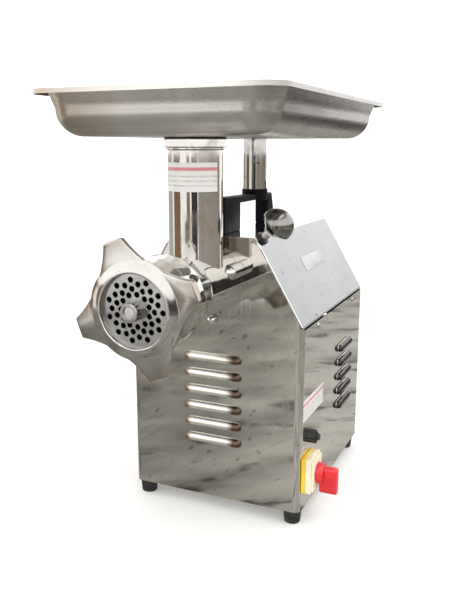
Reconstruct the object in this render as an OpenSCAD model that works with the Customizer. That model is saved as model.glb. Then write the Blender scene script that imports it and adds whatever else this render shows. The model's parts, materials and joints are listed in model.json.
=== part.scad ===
// Electric meat grinder with a feed tray, a clamped grinding head and an enclosed geared motor.
// Millimetres. The origin is on the floor, at the centre of the casing's footprint.
// +Z is up, the grinding head points along -Y, and the switch is on the +X side.

/* [Casing] */
// Width of the casing
case_w = 230; // [190:1:290]
// Depth of the casing
case_d = 275; // [265:1:340]
// Height of the casing's lower edge above the floor
foot_h = 18; // [14:1:26]
// Height of the casing's top above the floor
case_top = 353.6; // [353:0.1:372]
// Height at which the side walls end and the slants begin
shoulder_z = 250.7; // [225:0.1:262]
// Width of each slant, seen from the front
slant_w = 60; // [48:1:62]
// Sheet thickness of the casing
sheet = 1.2; // [0.8:0.1:1.6]
// Sheet thickness of the top cover
cover_t = 1.5; // [1:0.1:1.6]
// Radius of the bent front corners
corner_r = 9; // [6:1:14]

/* [Louvres] */
// Number of louvres in the front stack
louvre_count = 6; // [3:1:6]
// Number of louvres in each side stack
side_louvre_count = 5; // [3:1:5]
// Length of a front louvre
louvre_len = 76; // [50:1:90]
// Length of a side louvre
side_louvre_len = 60; // [40:1:70]
// Height of the hood above its centre line
hood_r = 6.2; // [5:0.1:7]
// Distance from one front louvre to the next
louvre_pitch = 21.4; // [18:0.1:23]
// Distance from one side louvre to the next
side_louvre_pitch = 20.5; // [18:0.1:23]
// Height of the top front louvre
louvre_top_z = 202; // [190:1:215]
// Height of the top side louvre
side_louvre_top_z = 185; // [175:1:195]

/* [Grinding head] */
// Height of the head's axis
axis_z = 300; // [296:0.5:301]
// Radius of the head's tail and of its barrel beside the casing
tail_r = 37.5; // [33:0.5:38]
// Length of the tail inside the casing
tail_len = 52; // [44:1:53]
// Radius of the worm's bore
worm_bore_r = 33; // [28:0.5:33]
// Distance from the casing to the knife's chamber
chamber_s = 158; // [140:1:175]
// Radius of the grinding plate
plate_r = 41; // [38:0.5:46]
// Thickness of the grinding plate
plate_t = 8; // [6:0.5:10]
// Diameter of the holes in the plate
hole_d = 5.8; // [4:0.1:6]
// Wall of the barrel outside the plate
mouth_wall = 3.5; // [3:0.1:5]
// Distance from the casing to the middle of the feed neck
neck_s = 44; // [40:1:52]
// Outer diameter of the feed neck
neck_d = 61; // [56:1:68]
// Inner diameter of the feed neck
throat_d = 52; // [46:1:53]
// Diameter of the neck's top flange
neck_flange_d = 71; // [69:1:80]
// Height of the neck's top above the floor
neck_top = 465; // [430:1:490]

/* [Ring nut] */
// Distance from the axis to a lobe's tip
lobe_tip_r = 71.8; // [64:0.1:80]
// Half the width of a lobe's tip
lobe_half_w = 10.8; // [8:0.1:14]
// Thickness of the lobes
lobe_t = 8; // [6:0.5:10]
// Angle of the first lobe, seen from the front
lobe_angle = 20; // [0:1:89]
// Radius of the opening that shows the plate
ring_opening_r = 37.5; // [34:0.5:38]

/* [Feed tray] */
// Width of the tray's rim
tray_w = 282; // [240:1:330]
// Length of the tray's rim
tray_l = 433; // [380:1:480]
// Height of the tray's rim above its bottom
tray_h = 47.6; // [40:0.1:60]
// Distance the rim reaches ahead of the casing
tray_front = 157; // [130:1:180]
// Width of the rim's turned-out flange
rim_w = 9; // [8:1:18]
// Radius of the bend between the tray's wall and bottom
tray_bend_r = 28; // [16:1:32]
// Sheet thickness of the tray
tray_sheet = 1.2; // [0.8:0.1:1.6]

/* [Handle and post] */
// Width of the carry handle
handle_w = 18; // [14:1:26]
// Height of the carry handle above the casing
handle_h = 43; // [36:1:46]
// Distance from the casing's front to the handle's front leg
handle_start = 14; // [8:1:20]
// Length of the handle at its top
handle_len = 161; // [150:1:180]
// Diameter of the post that holds the tray level
post_d = 31; // [24:1:33]
// Distance from the casing's front to the post
post_at = 133; // [120:1:135]

/* [Clamp knob] */
// Angle of the clamp screw above the +X direction
clamp_angle = 42; // [38:1:42]
// Distance from the casing's front to the clamp screw
clamp_at = 16; // [14:1:20]
// Diameter of the clamp screw
clamp_screw_d = 10; // [8:0.5:11]
// Diameter of the clamp knob
clamp_knob_d = 36; // [28:1:40]

/* [Controls] */
// Width of the switch plate
switch_w = 40; // [34:1:46]
// Height of the switch plate
switch_h = 45; // [38:1:50]
// Height of the switch's axis above the floor
switch_z = 65.5; // [60:0.5:80]
// Distance from the casing's front to the switch's axis
switch_at = 24; // [24:1:40]
// Height of the reset button above the floor
reset_z = 107; // [104:1:115]
// Distance from the casing's front to the reset button
reset_at = 35; // [24:1:40]
// Travel of the reset button
reset_travel = 3; // [2:0.5:4]

/* [Gear train] */
// Module of the output stage
output_module = 2; // [2]
// Module of the motor stage
motor_module = 1.5; // [1.5]
// Teeth of the output gear
output_teeth = 40; // [36:1:40]
// Teeth of the counter pinion
pinion_teeth = 17; // [17:1:18]
// Teeth of the counter gear
counter_teeth = 52; // [48:1:52]
// Teeth of the motor pinion
motor_teeth = 17; // [17:1:18]

/* [Motor] */
// Outer radius of the motor shell
motor_r = 72; // [66:1:76]
// Length of the motor shell
motor_len = 112; // [100:1:115]

/* [Hidden] */
$fn = 96;
facet_fn = 28;                      // facets of the balls inside a hull
fit = 0.05;                         // radial clearance of a running fit
gap = 0.3;                          // clearance between curved faces that don't run together
front_y = -case_d / 2;
rear_y = case_d / 2;
half_w = case_w / 2;
flat_half = half_w - slant_w;       // half width of the flat top
slant_h = case_top - shoulder_z;
slant_l = sqrt(slant_w * slant_w + slant_h * slant_h);
slant_nx = slant_h / slant_l;       // outward normal of the right slant
slant_nz = slant_w / slant_l;

// grinding head, in distances s ahead of the casing's front panel
plate_s = chamber_s + 13;           // rear face of the plate
plate_face_s = plate_s + plate_t;
mouth_s = plate_s + 5;              // front end of the barrel
chamber_r = plate_r + 0.25;
thread_r = chamber_r + mouth_wall;
collar_r = thread_r + 3;
collar_s = chamber_s - 38;
collar_len = 26;
cone_s = neck_s + neck_d / 2 + 4;
ring_bore_r = thread_r + gap;
skirt_r = ring_bore_r + 4.5;
ring_rear_s = collar_s + collar_len + 2;
lobe_s = plate_face_s - 7;          // rear face of the lobes
lip_s = plate_face_s + 6;           // front face of the ring nut's lip
bush_r = 20;                        // outside of the bronze tail bush
journal_r = 16;                     // worm's journal in the bush
bush_len = 24;
bore_start_s = -tail_len + bush_len + 3;
worm_end_s = chamber_s - 1;
worm_r = worm_bore_r - 0.8;
worm_core_r = 14;
worm_turns = 3.5;
tang = 16;                          // square end of the worm
tang_len = 14;
stud_r = 5.9;
hub_r = 9.75;
hub_bore_r = stud_r + fit;
hub_len = 13;
stud_end_s = plate_face_s + hub_len - 2;
knife_t = 10;
knife_r = chamber_r - 2.2;
knife_square = 13;
hole_rings = [16.3, 21.7, 26.7, 30.9];
holes_per_ring = 11;
hole_phase = 33;
lug_angle = 25;
lug_r = 9.5;
lug_at_r = tail_r - 2.5;
lug_len = 34;
dowel_r = 2;
dowel_at_r = tail_r + 3.3;
stud_at_r = tail_r + 11;            // studs around the socket
stud_angles = [150, 270];

// tray
tray_z = neck_top + 2;              // underside of the tray, on its gasket
tray_rim_z = tray_z + tray_h;
spigot_r = throat_d / 2 - gap;
spigot_len = 20;
tray_back = tray_l - tray_front;
tray_mid_y = front_y + (tray_back - tray_front) / 2;
tray_in_w = tray_w - 2 * rim_w;
tray_in_l = tray_l - 2 * rim_w;
tray_draft = 6;                     // how far the walls lean in, top to bottom
tray_corner_r = 26;
rim_lip = 5;                        // height of the rim's turned-down edge

// socket and gear case, in distances d behind the casing's front panel
socket_r = tail_r + 0.08;
socket_wall = 8;
seal_d = tail_len + 1;
bearing_d = seal_d + 5;
cavity_d = bearing_d + 14;
stage2_d = cavity_d + 2;
stage2_w = 16;
stage1_d = stage2_d + stage2_w + 3;
stage1_w = 11;
cover_d = stage1_d + stage1_w + 3;
gear_cover_t = 12;
motor_d = cover_d + gear_cover_t;
case_r = 50;
case_wall = 5;
counter_z = axis_z - output_module * (output_teeth + pinion_teeth) / 2;
motor_z = counter_z - motor_module * (counter_teeth + motor_teeth) / 2;
out_shaft_r = 15;
out_tail_r = 12;
seal_r = 24;
counter_shaft_r = 9;
rotor_shaft_r = 8.5;
bearing_w = 12;
case_bolt_r = 2.5;
case_bolts = [[-45, axis_z + 24], [45, axis_z + 24], [-45, motor_z - 20], [45, motor_z - 20]];

// motor
rotor_r = 38;
air_gap = 0.6;
stator_d = motor_d + 30;
stator_l = 58;
shell_t = 3;
winding_l = 16;
winding_mid = (motor_r - shell_t + rotor_r) / 2;
winding_half = (motor_r - shell_t - rotor_r) / 2 - 4.5;
bell_d = motor_d + motor_len;
bell_t = 9;
fan_d = bell_d + bell_t + 4;
fan_w = 9;
cradle_top = motor_z - motor_r - 6;
base_t = 2;
base_z = foot_h + base_t;           // top of the base plate

// wiring inside
cap_r = 18;
cap_h = 72;
cap_x = -88;
cap_y = front_y + 150;
block_pitch = 9.2;

// feet
foot_inset = 13;
foot_r = 11.5;
foot_low_r = 10;
foot_round = 1.8;
foot_recess = 7;
foot_recess_r = 4.9;
foot_screw_r = 2.3;
feet = [for (x = [-1, 1], y = [-1, 1]) [x * (half_w - foot_inset), y * (case_d / 2 - foot_inset)]];

// controls
switch_plate_t = 5;
switch_frame_t = 10;
switch_y = front_y + switch_at;
reset_y = front_y + reset_at;
frame_x = half_w + switch_plate_t;
knob_x = frame_x + switch_frame_t + 0.3;
knob_r = 13.2;
gland_x = -55;
gland_z = 60;
cable_r = 4.5;

// clamp
clamp_r = socket_r + socket_wall + 13;          // outer end of the threaded boss
slant_exit = (slant_nx * half_w + slant_nz * (shoulder_z - axis_z))
    / (slant_nx * cos(clamp_angle) + slant_nz * sin(clamp_angle));
clamp_exit = min(slant_exit, (case_top - axis_z) / sin(clamp_angle));
clamp_bush_end = clamp_exit + 2.5;
clamp_tip = tail_r + 0.25;
clamp_head = clamp_exit + 19;                 // underside of the knob's rim

// handle
handle_y = front_y + handle_start;
handle_top = case_top + handle_h;
handle_bar = 9;
front_leg = 50;
rear_leg = 18;
handle_bolt_y = [handle_y + 12, handle_y + 31, handle_y + handle_len - 4];
boss_r = post_d / 2 + 1.6;
boss_h = 7;
post_y = front_y + post_at;

// ---- frames -------------------------------------------------------------------------------

// Local +Z points out of the casing's front along the head's axis, and local Y points up
module on_axis(z, s) translate([0, front_y - s, z]) rotate([90, 0, 0]) children();

// A round solid that starts d behind the front panel and runs back by its height h
module behind(z, d, h) on_axis(z, -d - h) children();

// A tube along local +Z
module tube(r_out, r_in, h) difference() {
    cylinder(r = r_out, h = h);
    translate([0, 0, -1]) cylinder(r = r_in, h = h + 2);
}

// Local +Z points outwards along the clamp screw
module on_clamp(r) translate([0, front_y + clamp_at, axis_z])
    rotate([0, 90 - clamp_angle, 0]) translate([0, 0, r]) children();

// ---- casing -------------------------------------------------------------------------------

// The casing's front outline, drawn in by t all round the top
module outline(t, low) {
    top = case_top - t;
    lean = slant_w / slant_h;
    inset = t / slant_nx;
    flat = half_w - inset - (top - shoulder_z) * lean;
    polygon([
        [-half_w, low], [half_w, low], [half_w, shoulder_z - inset / lean],
        [flat, top], [-flat, top], [-half_w, shoulder_z - inset / lean]
    ]);
}

// The casing's plan: the front and both sides, open at the back
module wrap_plan(t) difference() {
    plan(0, 0);
    plan(t, -1);
}
module plan(t, back) {
    r = corner_r - t;
    hull_w = half_w - t;
    translate([-hull_w, front_y + corner_r]) square([2 * hull_w, case_d - corner_r - back]);
    translate([-half_w + corner_r, front_y + t]) square([case_w - 2 * corner_r, corner_r]);
    for (x = [-1, 1]) translate([x * (half_w - corner_r), front_y + corner_r]) circle(r = r);
}

// A capsule that lies along X
module capsule(r, len) {
    half = len / 2 - r;
    rotate([0, 90, 0]) cylinder(r = r, h = 2 * half, center = true, $fn = 36);
    for (x = [-half, half]) translate([x, 0, 0]) sphere(r = r, $fn = 36);
}

// A pressed-out louvre on a panel that faces -Y, its mouth open downwards
module hood(len) intersection() {
    difference() {
        capsule(hood_r, len);
        capsule(hood_r - sheet, len - 2 * sheet);
    }
    translate([-len / 2 - 1, -hood_r - 1, -hood_r / 2]) cube([len + 2, hood_r + 1, 2 * hood_r]);
}
module hood_slot(len) {
    half = len / 2 - hood_r;
    slot_h = hood_r * 1.2;
    translate([-half, -1, -hood_r / 2]) cube([2 * half, sheet + 2, slot_h]);
}
module stack(count, pitch, top_z) for (i = [0 : count - 1])
    translate([0, 0, top_z - i * pitch]) children();

module front_louvres() translate([0, front_y, 0]) children();
module side_louvres(side) translate([side * half_w, front_y + 186, 0])
    rotate([0, 0, side * 90]) children();

module casing_wrap() color([0.72, 0.71, 0.68]) {
    difference() {
        intersection() {
            translate([0, 0, foot_h]) linear_extrude(case_top - foot_h) wrap_plan(sheet);
            translate([0, rear_y, 0]) rotate([90, 0, 0]) linear_extrude(case_d)
                outline(cover_t, foot_h);
        }
        on_axis(axis_z, -sheet - 1) cylinder(r = tail_r + 1, h = sheet + 2);
        front_louvres() stack(louvre_count, louvre_pitch, louvre_top_z) hood_slot(louvre_len);
        for (side = [-1, 1]) side_louvres(side)
            stack(side_louvre_count, side_louvre_pitch, side_louvre_top_z) hood_slot(side_louvre_len);
        panel_studs(case_bolt_r + gap, sheet + 2, -sheet - 1);
        on_axis(axis_z, -sheet - 1) rotate([0, 0, lug_angle]) translate([dowel_at_r, 0, 0])
            cylinder(r = dowel_r + gap, h = sheet + 2);
        translate([half_w - 5, switch_y, switch_z]) rotate([0, 90, 0])
            cylinder(r = 14, h = 10);
        translate([half_w - 5, reset_y, reset_z]) rotate([0, 90, 0]) cylinder(r = 6.3, h = 10);
        side_screws(1.6, 4, -3);
    }
    front_louvres() stack(louvre_count, louvre_pitch, louvre_top_z) hood(louvre_len);
    for (side = [-1, 1]) side_louvres(side)
        stack(side_louvre_count, side_louvre_pitch, side_louvre_top_z) hood(side_louvre_len);
}

// Holes or screws along the top cover's side flanges
module side_screws(r, h, x) for (side = [-1, 1], y = [front_y + 60, rear_y - 50])
    translate([side * half_w, y, shoulder_z - 9]) rotate([0, side * 90, 0])
    translate([0, 0, x]) cylinder(r = r, h = h);

// The flat top and both slants, folded from one sheet, with a turned-down front edge
module top_cover() color([0.8, 0.8, 0.78]) difference() {
    translate([0, rear_y, 0]) rotate([90, 0, 0]) linear_extrude(case_d + 0.8) difference() {
        outline(0, shoulder_z);
        outline(cover_t, shoulder_z - 1);
    }
    on_clamp(clamp_exit - 20) cylinder(r = clamp_screw_d / 2 + 3.4, h = 40);
    handle_holes(2.7, cover_t + 2, case_top - cover_t - 1);
}

// The rear wall, set between the sides and under the cover
module rear_panel() color([0.62, 0.62, 0.6]) difference() {
    translate([0, rear_y, 0]) rotate([90, 0, 0]) linear_extrude(sheet) intersection() {
        outline(cover_t, foot_h);
        translate([-half_w + sheet, 0]) square([case_w - 2 * sheet, case_top]);
    }
    for (i = [0 : louvre_count - 1], x = [-1, 1])
        translate([x * 42 - 30, rear_y - sheet - 1, louvre_top_z - i * 16]) vent_slot(60, 4);
    translate([gland_x, rear_y - sheet - 1, gland_z]) rotate([-90, 0, 0])
        cylinder(r = 8.2, h = sheet + 2);
    rear_screws(1.7, sheet + 2, rear_y - sheet - 1);
}
module vent_slot(len, h) {
    cube([len, sheet + 2, h]);
    for (x = [0, len]) translate([x, 0, h / 2]) rotate([-90, 0, 0])
        cylinder(r = h / 2, h = sheet + 2, $fn = 24);
}
module rear_screws(r, h, y) for (x = [-1, 1], z = [foot_h + 16, shoulder_z - 40])
    translate([x * (half_w - 10), y, z]) rotate([-90, 0, 0]) cylinder(r = r, h = h);

module base_plate() color([0.6, 0.6, 0.58]) difference() {
    translate([0, 0, foot_h]) linear_extrude(base_t) plan_inner();
    for (p = feet) translate([p.x, p.y, foot_h - 1])
        cylinder(r = foot_screw_r + gap, h = base_t + 2);
    for (x = [-30, 30], y = [front_y + 150, rear_y - 60])
        translate([x, y, foot_h - 1]) linear_extrude(base_t + 2) square([14, 40], center = true);
}
module plan_inner() {
    in_w = half_w - sheet;
    r = corner_r - sheet - gap;
    translate([-in_w, front_y + corner_r]) square([2 * in_w, case_d - corner_r - sheet]);
    translate([-half_w + corner_r, front_y + sheet]) square([case_w - 2 * corner_r, corner_r]);
    for (x = [-1, 1]) translate([x * (half_w - corner_r), front_y + corner_r]) circle(r = r);
}

module rubber_feet() color([0.08, 0.08, 0.08]) for (p = feet) translate([p.x, p.y, 0])
    difference() {
        rotate_extrude() foot_profile();
        translate([0, 0, -1]) cylinder(r = foot_recess_r, h = foot_recess + 1);
        cylinder(r = foot_screw_r + gap, h = foot_h + 1);
    }
module foot_profile() polygon(concat(
    [[0, 0]],
    [for (a = [-90 : 15 : 0])
        [foot_low_r + foot_round * (cos(a) - 1), foot_round + foot_round * sin(a)]],
    [[foot_r, foot_h - 2], [foot_r, foot_h], [0, foot_h]]
));
module foot_screws() color([0.5, 0.5, 0.5]) for (p = feet) translate([p.x, p.y, foot_recess]) {
    reach = base_z - foot_recess;
    translate([0, 0, -2.5]) cylinder(r = foot_recess_r - gap, h = 2.5);
    cylinder(r = foot_screw_r, h = reach + 7);
    translate([0, 0, reach]) difference() {
        cylinder(r = 4.6, h = 3.6, $fn = 6);
        translate([0, 0, -1]) cylinder(r = foot_screw_r, h = 6);
    }
}

// Domed screws through the casing's sides and the rear panel
module cover_screws() color([0.75, 0.75, 0.73]) {
    for (side = [-1, 1], y = [front_y + 60, rear_y - 50])
        translate([side * half_w, y, shoulder_z - 9]) rotate([0, side * 90, 0]) pan_head(1.4, 6);
    for (x = [-1, 1], z = [foot_h + 16, shoulder_z - 40])
        translate([x * (half_w - 10), rear_y, z]) rotate([-90, 0, 0]) pan_head(1.5, 6);
}
module pan_head(r, len) {
    translate([0, 0, -len]) cylinder(r = r, h = len + 0.5);
    intersection() {
        translate([0, 0, -2.6]) sphere(r = 4.4);
        cylinder(r = 4, h = 4);
    }
}

// ---- gear case ----------------------------------------------------------------------------

// Studs around the socket, the lower one in plain view under the barrel
module panel_studs(r, h, s) for (a = stud_angles) on_axis(axis_z, s) rotate([0, 0, a])
    translate([stud_at_r, 0, 0]) cylinder(r = r, h = h);

module panel_nuts() color([0.78, 0.78, 0.76]) for (a = stud_angles)
    on_axis(axis_z, 0) rotate([0, 0, a]) translate([stud_at_r, 0, 0]) difference() {
        union() {
            cylinder(r = 6.6, h = 4.6, $fn = 6);
            translate([0, 0, 4.6]) intersection() {
                sphere(r = 5.4);
                cylinder(r = 6, h = 6);
            }
        }
        translate([0, 0, -1]) cylinder(r = case_bolt_r, h = 6);
    }

module locating_dowel() color([0.7, 0.7, 0.7]) on_axis(axis_z, -10) rotate([0, 0, lug_angle])
    translate([dowel_at_r, 0, 0]) cylinder(r = dowel_r, h = 10 + 14);

// Upright stadium from the motor's axis to the head's axis
module stadium(r, h) {
    cylinder(r = r, h = h);
    translate([0, motor_z - axis_z, 0]) cylinder(r = r, h = h);
    translate([-r, motor_z - axis_z, 0]) cube([2 * r, axis_z - motor_z, h]);
}
module case_bolt_holes(r, d, h) for (p = case_bolts) translate([p.x, front_y + d, p.y])
    rotate([-90, 0, 0]) cylinder(r = r, h = h);

module gear_case() color([0.66, 0.67, 0.68]) {
    difference() {
        union() {
            behind(axis_z, sheet, seal_d - sheet) cylinder(r = socket_r + socket_wall, h = seal_d - sheet);
            behind(axis_z, seal_d, cover_d - seal_d) stadium(case_r, cover_d - seal_d);
            for (a = stud_angles) behind(axis_z, sheet, seal_d - sheet) rotate([0, 0, a])
                translate([stud_at_r, 0, 0]) cylinder(r = 6, h = seal_d - sheet);
            on_clamp(socket_r + 2) cylinder(r = 10, h = clamp_r - socket_r - 2);
            for (p = case_bolts) translate([p.x, front_y + seal_d, p.y]) rotate([-90, 0, 0])
                cylinder(r = 7, h = cover_d - seal_d);
        }
        behind(axis_z, sheet - 1, tail_len + 1) cylinder(r = socket_r, h = tail_len + 1);
        behind(axis_z, seal_d - 3, 9) cylinder(r = seal_r, h = 9);
        behind(axis_z, bearing_d, cavity_d) cylinder(r = 31, h = cavity_d);
        behind(counter_z, bearing_d, 20) cylinder(r = 20, h = 20);
        behind(axis_z, cavity_d, cover_d) stadium(case_r - case_wall, cover_d);
        on_clamp(tail_r - 3) cylinder(r = clamp_screw_d / 2 + fit, h = clamp_r);
        panel_studs(case_bolt_r, 12, -12);
        on_axis(axis_z, -10) rotate([0, 0, lug_angle]) translate([dowel_at_r, 0, 0])
            cylinder(r = dowel_r, h = 20);
        case_bolt_holes(case_bolt_r, cover_d - 18, 30);
    }
    panel_studs(case_bolt_r, 12 + 4, -12);
}

module case_gasket() color([0.25, 0.2, 0.15]) difference() {
    behind(axis_z, cover_d, 0.8) stadium(case_r, 0.8);
    behind(axis_z, cover_d - 1, 3) stadium(case_r - case_wall, 3);
    case_bolt_holes(case_bolt_r + gap, cover_d - 1, 3);
}

module gear_case_cover() color([0.64, 0.65, 0.66]) difference() {
    union() {
        behind(axis_z, cover_d + 0.8, gear_cover_t - 0.8) stadium(case_r, gear_cover_t - 0.8);
        for (p = case_bolts) translate([p.x, front_y + cover_d + 0.8, p.y]) rotate([-90, 0, 0])
            cylinder(r = 7, h = gear_cover_t - 0.8);
    }
    behind(axis_z, cover_d, gear_cover_t - 2) cylinder(r = 21, h = gear_cover_t - 2);
    behind(counter_z, cover_d, gear_cover_t - 2) cylinder(r = 17, h = gear_cover_t - 2);
    behind(motor_z, cover_d, gear_cover_t - 2) cylinder(r = 20, h = gear_cover_t - 2);
    behind(motor_z, cover_d, gear_cover_t + 2) cylinder(r = rotor_shaft_r + gap, h = gear_cover_t + 2);
    case_bolt_holes(case_bolt_r + gap, cover_d - 1, gear_cover_t + 2);
}

module gear_case_bolts() color([0.4, 0.4, 0.42]) for (p = case_bolts)
    translate([p.x, front_y + cover_d - 16, p.y]) rotate([-90, 0, 0]) {
        cylinder(r = case_bolt_r, h = 16 + gear_cover_t);
        translate([0, 0, 16 + gear_cover_t]) cylinder(r = 4.6, h = 3.5, $fn = 6);
    }

module shaft_seal() color([0.1, 0.1, 0.1]) behind(axis_z, seal_d, 5) tube(seal_r, out_shaft_r + fit, 5);

// A ball bearing drawn as its two rings and the cage of balls between them
module bearing(r_out, r_in, w) {
    ring_t = (r_out - r_in) * 0.3;
    ball_r = (r_out - r_in) * 0.22;
    mid_r = (r_out + r_in) / 2;
    tube(r_out, r_out - ring_t, w);
    tube(r_in + ring_t, r_in, w);
    translate([0, 0, w / 2]) difference() {
        tube(r_out - ring_t, r_in + ring_t, ball_r);
        translate([0, 0, -ball_r]) tube(r_out, mid_r + ball_r, 3 * ball_r);
    }
}
module output_bearings() color([0.72, 0.73, 0.75]) {
    behind(axis_z, bearing_d, bearing_w) bearing(31, out_shaft_r + fit, bearing_w);
    behind(axis_z, cover_d + 1, gear_cover_t - 3) bearing(21, out_tail_r + fit, gear_cover_t - 3);
}
module counter_bearings() color([0.72, 0.73, 0.75]) {
    behind(counter_z, bearing_d + 2, bearing_w) bearing(20, counter_shaft_r + fit, bearing_w);
    behind(counter_z, cover_d + 1, gear_cover_t - 3) bearing(17, counter_shaft_r + fit, gear_cover_t - 3);
}
module rotor_bearings() color([0.72, 0.73, 0.75]) {
    behind(motor_z, cover_d + 1, gear_cover_t - 3) bearing(20, rotor_shaft_r + fit, gear_cover_t - 3);
    behind(motor_z, bell_d, bell_t - 1) bearing(17.5, rotor_shaft_r + fit, bell_t - 1);
}

// ---- gears --------------------------------------------------------------------------------

pressure = 20;
function involute(a) = tan(a) * 180 / PI - a;
// Half the angle that a tooth fills at radius r
function tooth_half(z, m, r) = let (p = m * z / 2, b = p * cos(pressure),
    a = acos(min(1, b / max(b, r))))
    90 / z - 0.05 / p * 180 / PI + involute(pressure) - involute(a);
function flank(z, m) = let (root = m * z / 2 - 1.25 * m, tip = m * z / 2 + m)
    [for (i = [0 : 4]) root + (tip - root) * i / 4];
function gear_points(z, m, phase) = [for (k = [0 : z - 1]) let (c = phase + 360 * k / z)
    each concat(
        [for (r = flank(z, m)) r * [cos(c - tooth_half(z, m, r)), sin(c - tooth_half(z, m, r))]],
        [for (i = [4 : -1 : 0]) let (r = flank(z, m)[i])
            r * [cos(c + tooth_half(z, m, r)), sin(c + tooth_half(z, m, r))]]
    )];
module gear(z, m, phase, w, bore) difference() {
    linear_extrude(w) polygon(gear_points(z, m, phase));
    translate([0, 0, -1]) cylinder(r = bore, h = w + 2);
}

module output_gear() color([0.45, 0.46, 0.48]) behind(axis_z, stage2_d, stage2_w)
    gear(output_teeth, output_module, -90, stage2_w, out_shaft_r);
module counter_pinion() color([0.5, 0.5, 0.5]) behind(counter_z, stage2_d, stage2_w)
    gear(pinion_teeth, output_module, 90 + 180 / pinion_teeth, stage2_w, counter_shaft_r);
module counter_gear() color([0.45, 0.46, 0.48]) behind(counter_z, stage1_d, stage1_w)
    gear(counter_teeth, motor_module, -90, stage1_w, counter_shaft_r);
module motor_pinion() color([0.5, 0.5, 0.5]) behind(motor_z, stage1_d, stage1_w)
    gear(motor_teeth, motor_module, 90 + 180 / motor_teeth, stage1_w, rotor_shaft_r);

module output_shaft() color([0.6, 0.6, 0.62]) difference() {
    union() {
        behind(axis_z, seal_d + 0.5, stage2_d + stage2_w - seal_d)
            cylinder(r = out_shaft_r, h = stage2_d + stage2_w - seal_d);
        behind(axis_z, stage2_d + stage2_w, cover_d + gear_cover_t - 2 - stage2_d - stage2_w)
            cylinder(r = out_tail_r, h = cover_d + gear_cover_t - 2 - stage2_d - stage2_w);
    }
    behind(axis_z, seal_d, tang_len + 1.5) translate([-tang / 2 - 0.2, -tang / 2 - 0.2, 0])
        cube([tang + 0.4, tang + 0.4, tang_len + 3]);
}
module counter_shaft() color([0.6, 0.6, 0.62])
    behind(counter_z, bearing_d + 2, cover_d + gear_cover_t - 2 - bearing_d - 2)
    cylinder(r = counter_shaft_r, h = cover_d + gear_cover_t - 2 - bearing_d - 2);

// ---- motor --------------------------------------------------------------------------------

module motor_shell() color([0.3, 0.33, 0.36]) {
    behind(motor_z, motor_d, motor_len) tube(motor_r, motor_r - shell_t, motor_len);
    difference() {
        for (x = [-1, 1]) translate([x * 42 - 8, front_y + motor_d + 12, cradle_top])
            cube([16, motor_len - 24, 26]);
        behind(motor_z, motor_d, motor_len) cylinder(r = motor_r - 1, h = motor_len);
    }
}
module stator_core() color([0.4, 0.4, 0.42])
    behind(motor_z, stator_d, stator_l) tube(motor_r - shell_t, rotor_r + air_gap, stator_l);
module stator_windings() color([0.72, 0.4, 0.18]) for (d = [stator_d - winding_l, stator_d + stator_l])
    behind(motor_z, d, winding_l) rotate_extrude() translate([winding_mid, 0])
    winding_profile(winding_half, winding_l);
module winding_profile(half, h) polygon([
    [-half, 0], [half, 0], [half, h - 4], [half - 4, h], [4 - half, h], [-half, h - 4]
]);
module rotor_core() color([0.5, 0.5, 0.52])
    behind(motor_z, stator_d, stator_l) tube(rotor_r, rotor_shaft_r, stator_l);
module rotor_shaft() color([0.6, 0.6, 0.62])
    behind(motor_z, stage1_d - 1, fan_d + fan_w - stage1_d + 3)
    cylinder(r = rotor_shaft_r, h = fan_d + fan_w - stage1_d + 3);
module motor_end_bell() color([0.62, 0.63, 0.64]) difference() {
    behind(motor_z, bell_d, bell_t) cylinder(r = motor_r, h = bell_t);
    behind(motor_z, bell_d - 1, bell_t) cylinder(r = 17.5, h = bell_t);
    behind(motor_z, bell_d - 1, bell_t + 2) cylinder(r = rotor_shaft_r + gap, h = bell_t + 2);
    for (a = [0 : 45 : 315]) behind(motor_z, bell_d - 1, bell_t + 2) rotate([0, 0, a])
        translate([46, 0, 0]) cylinder(r = 9, h = bell_t + 2);
}
module motor_fan() color([0.12, 0.12, 0.13]) behind(motor_z, fan_d, fan_w) difference() {
    union() {
        cylinder(r = 20, h = fan_w);
        cylinder(r = 62, h = 2);
        for (a = [0 : 45 : 315]) rotate([0, 0, a]) translate([15, -1.2, 0]) cube([46, 2.4, fan_w]);
    }
    translate([0, 0, -1]) cylinder(r = rotor_shaft_r, h = fan_w + 2);
}

// A folded sheet bridge on the base plate that carries the motor's feet
module motor_cradle() color([0.25, 0.26, 0.28]) {
    len = motor_len - 20;
    leg_h = cradle_top - base_z;
    translate([0, front_y + motor_d + 10, base_z]) {
        translate([-52, 0, leg_h - 3]) cube([104, len, 3]);
        for (x = [-52, 49]) translate([x, 0, 0]) cube([3, len, leg_h - 3]);
        for (x = [-66, 49]) translate([x, 0, 0]) cube([17, len, 3]);
    }
}

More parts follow.
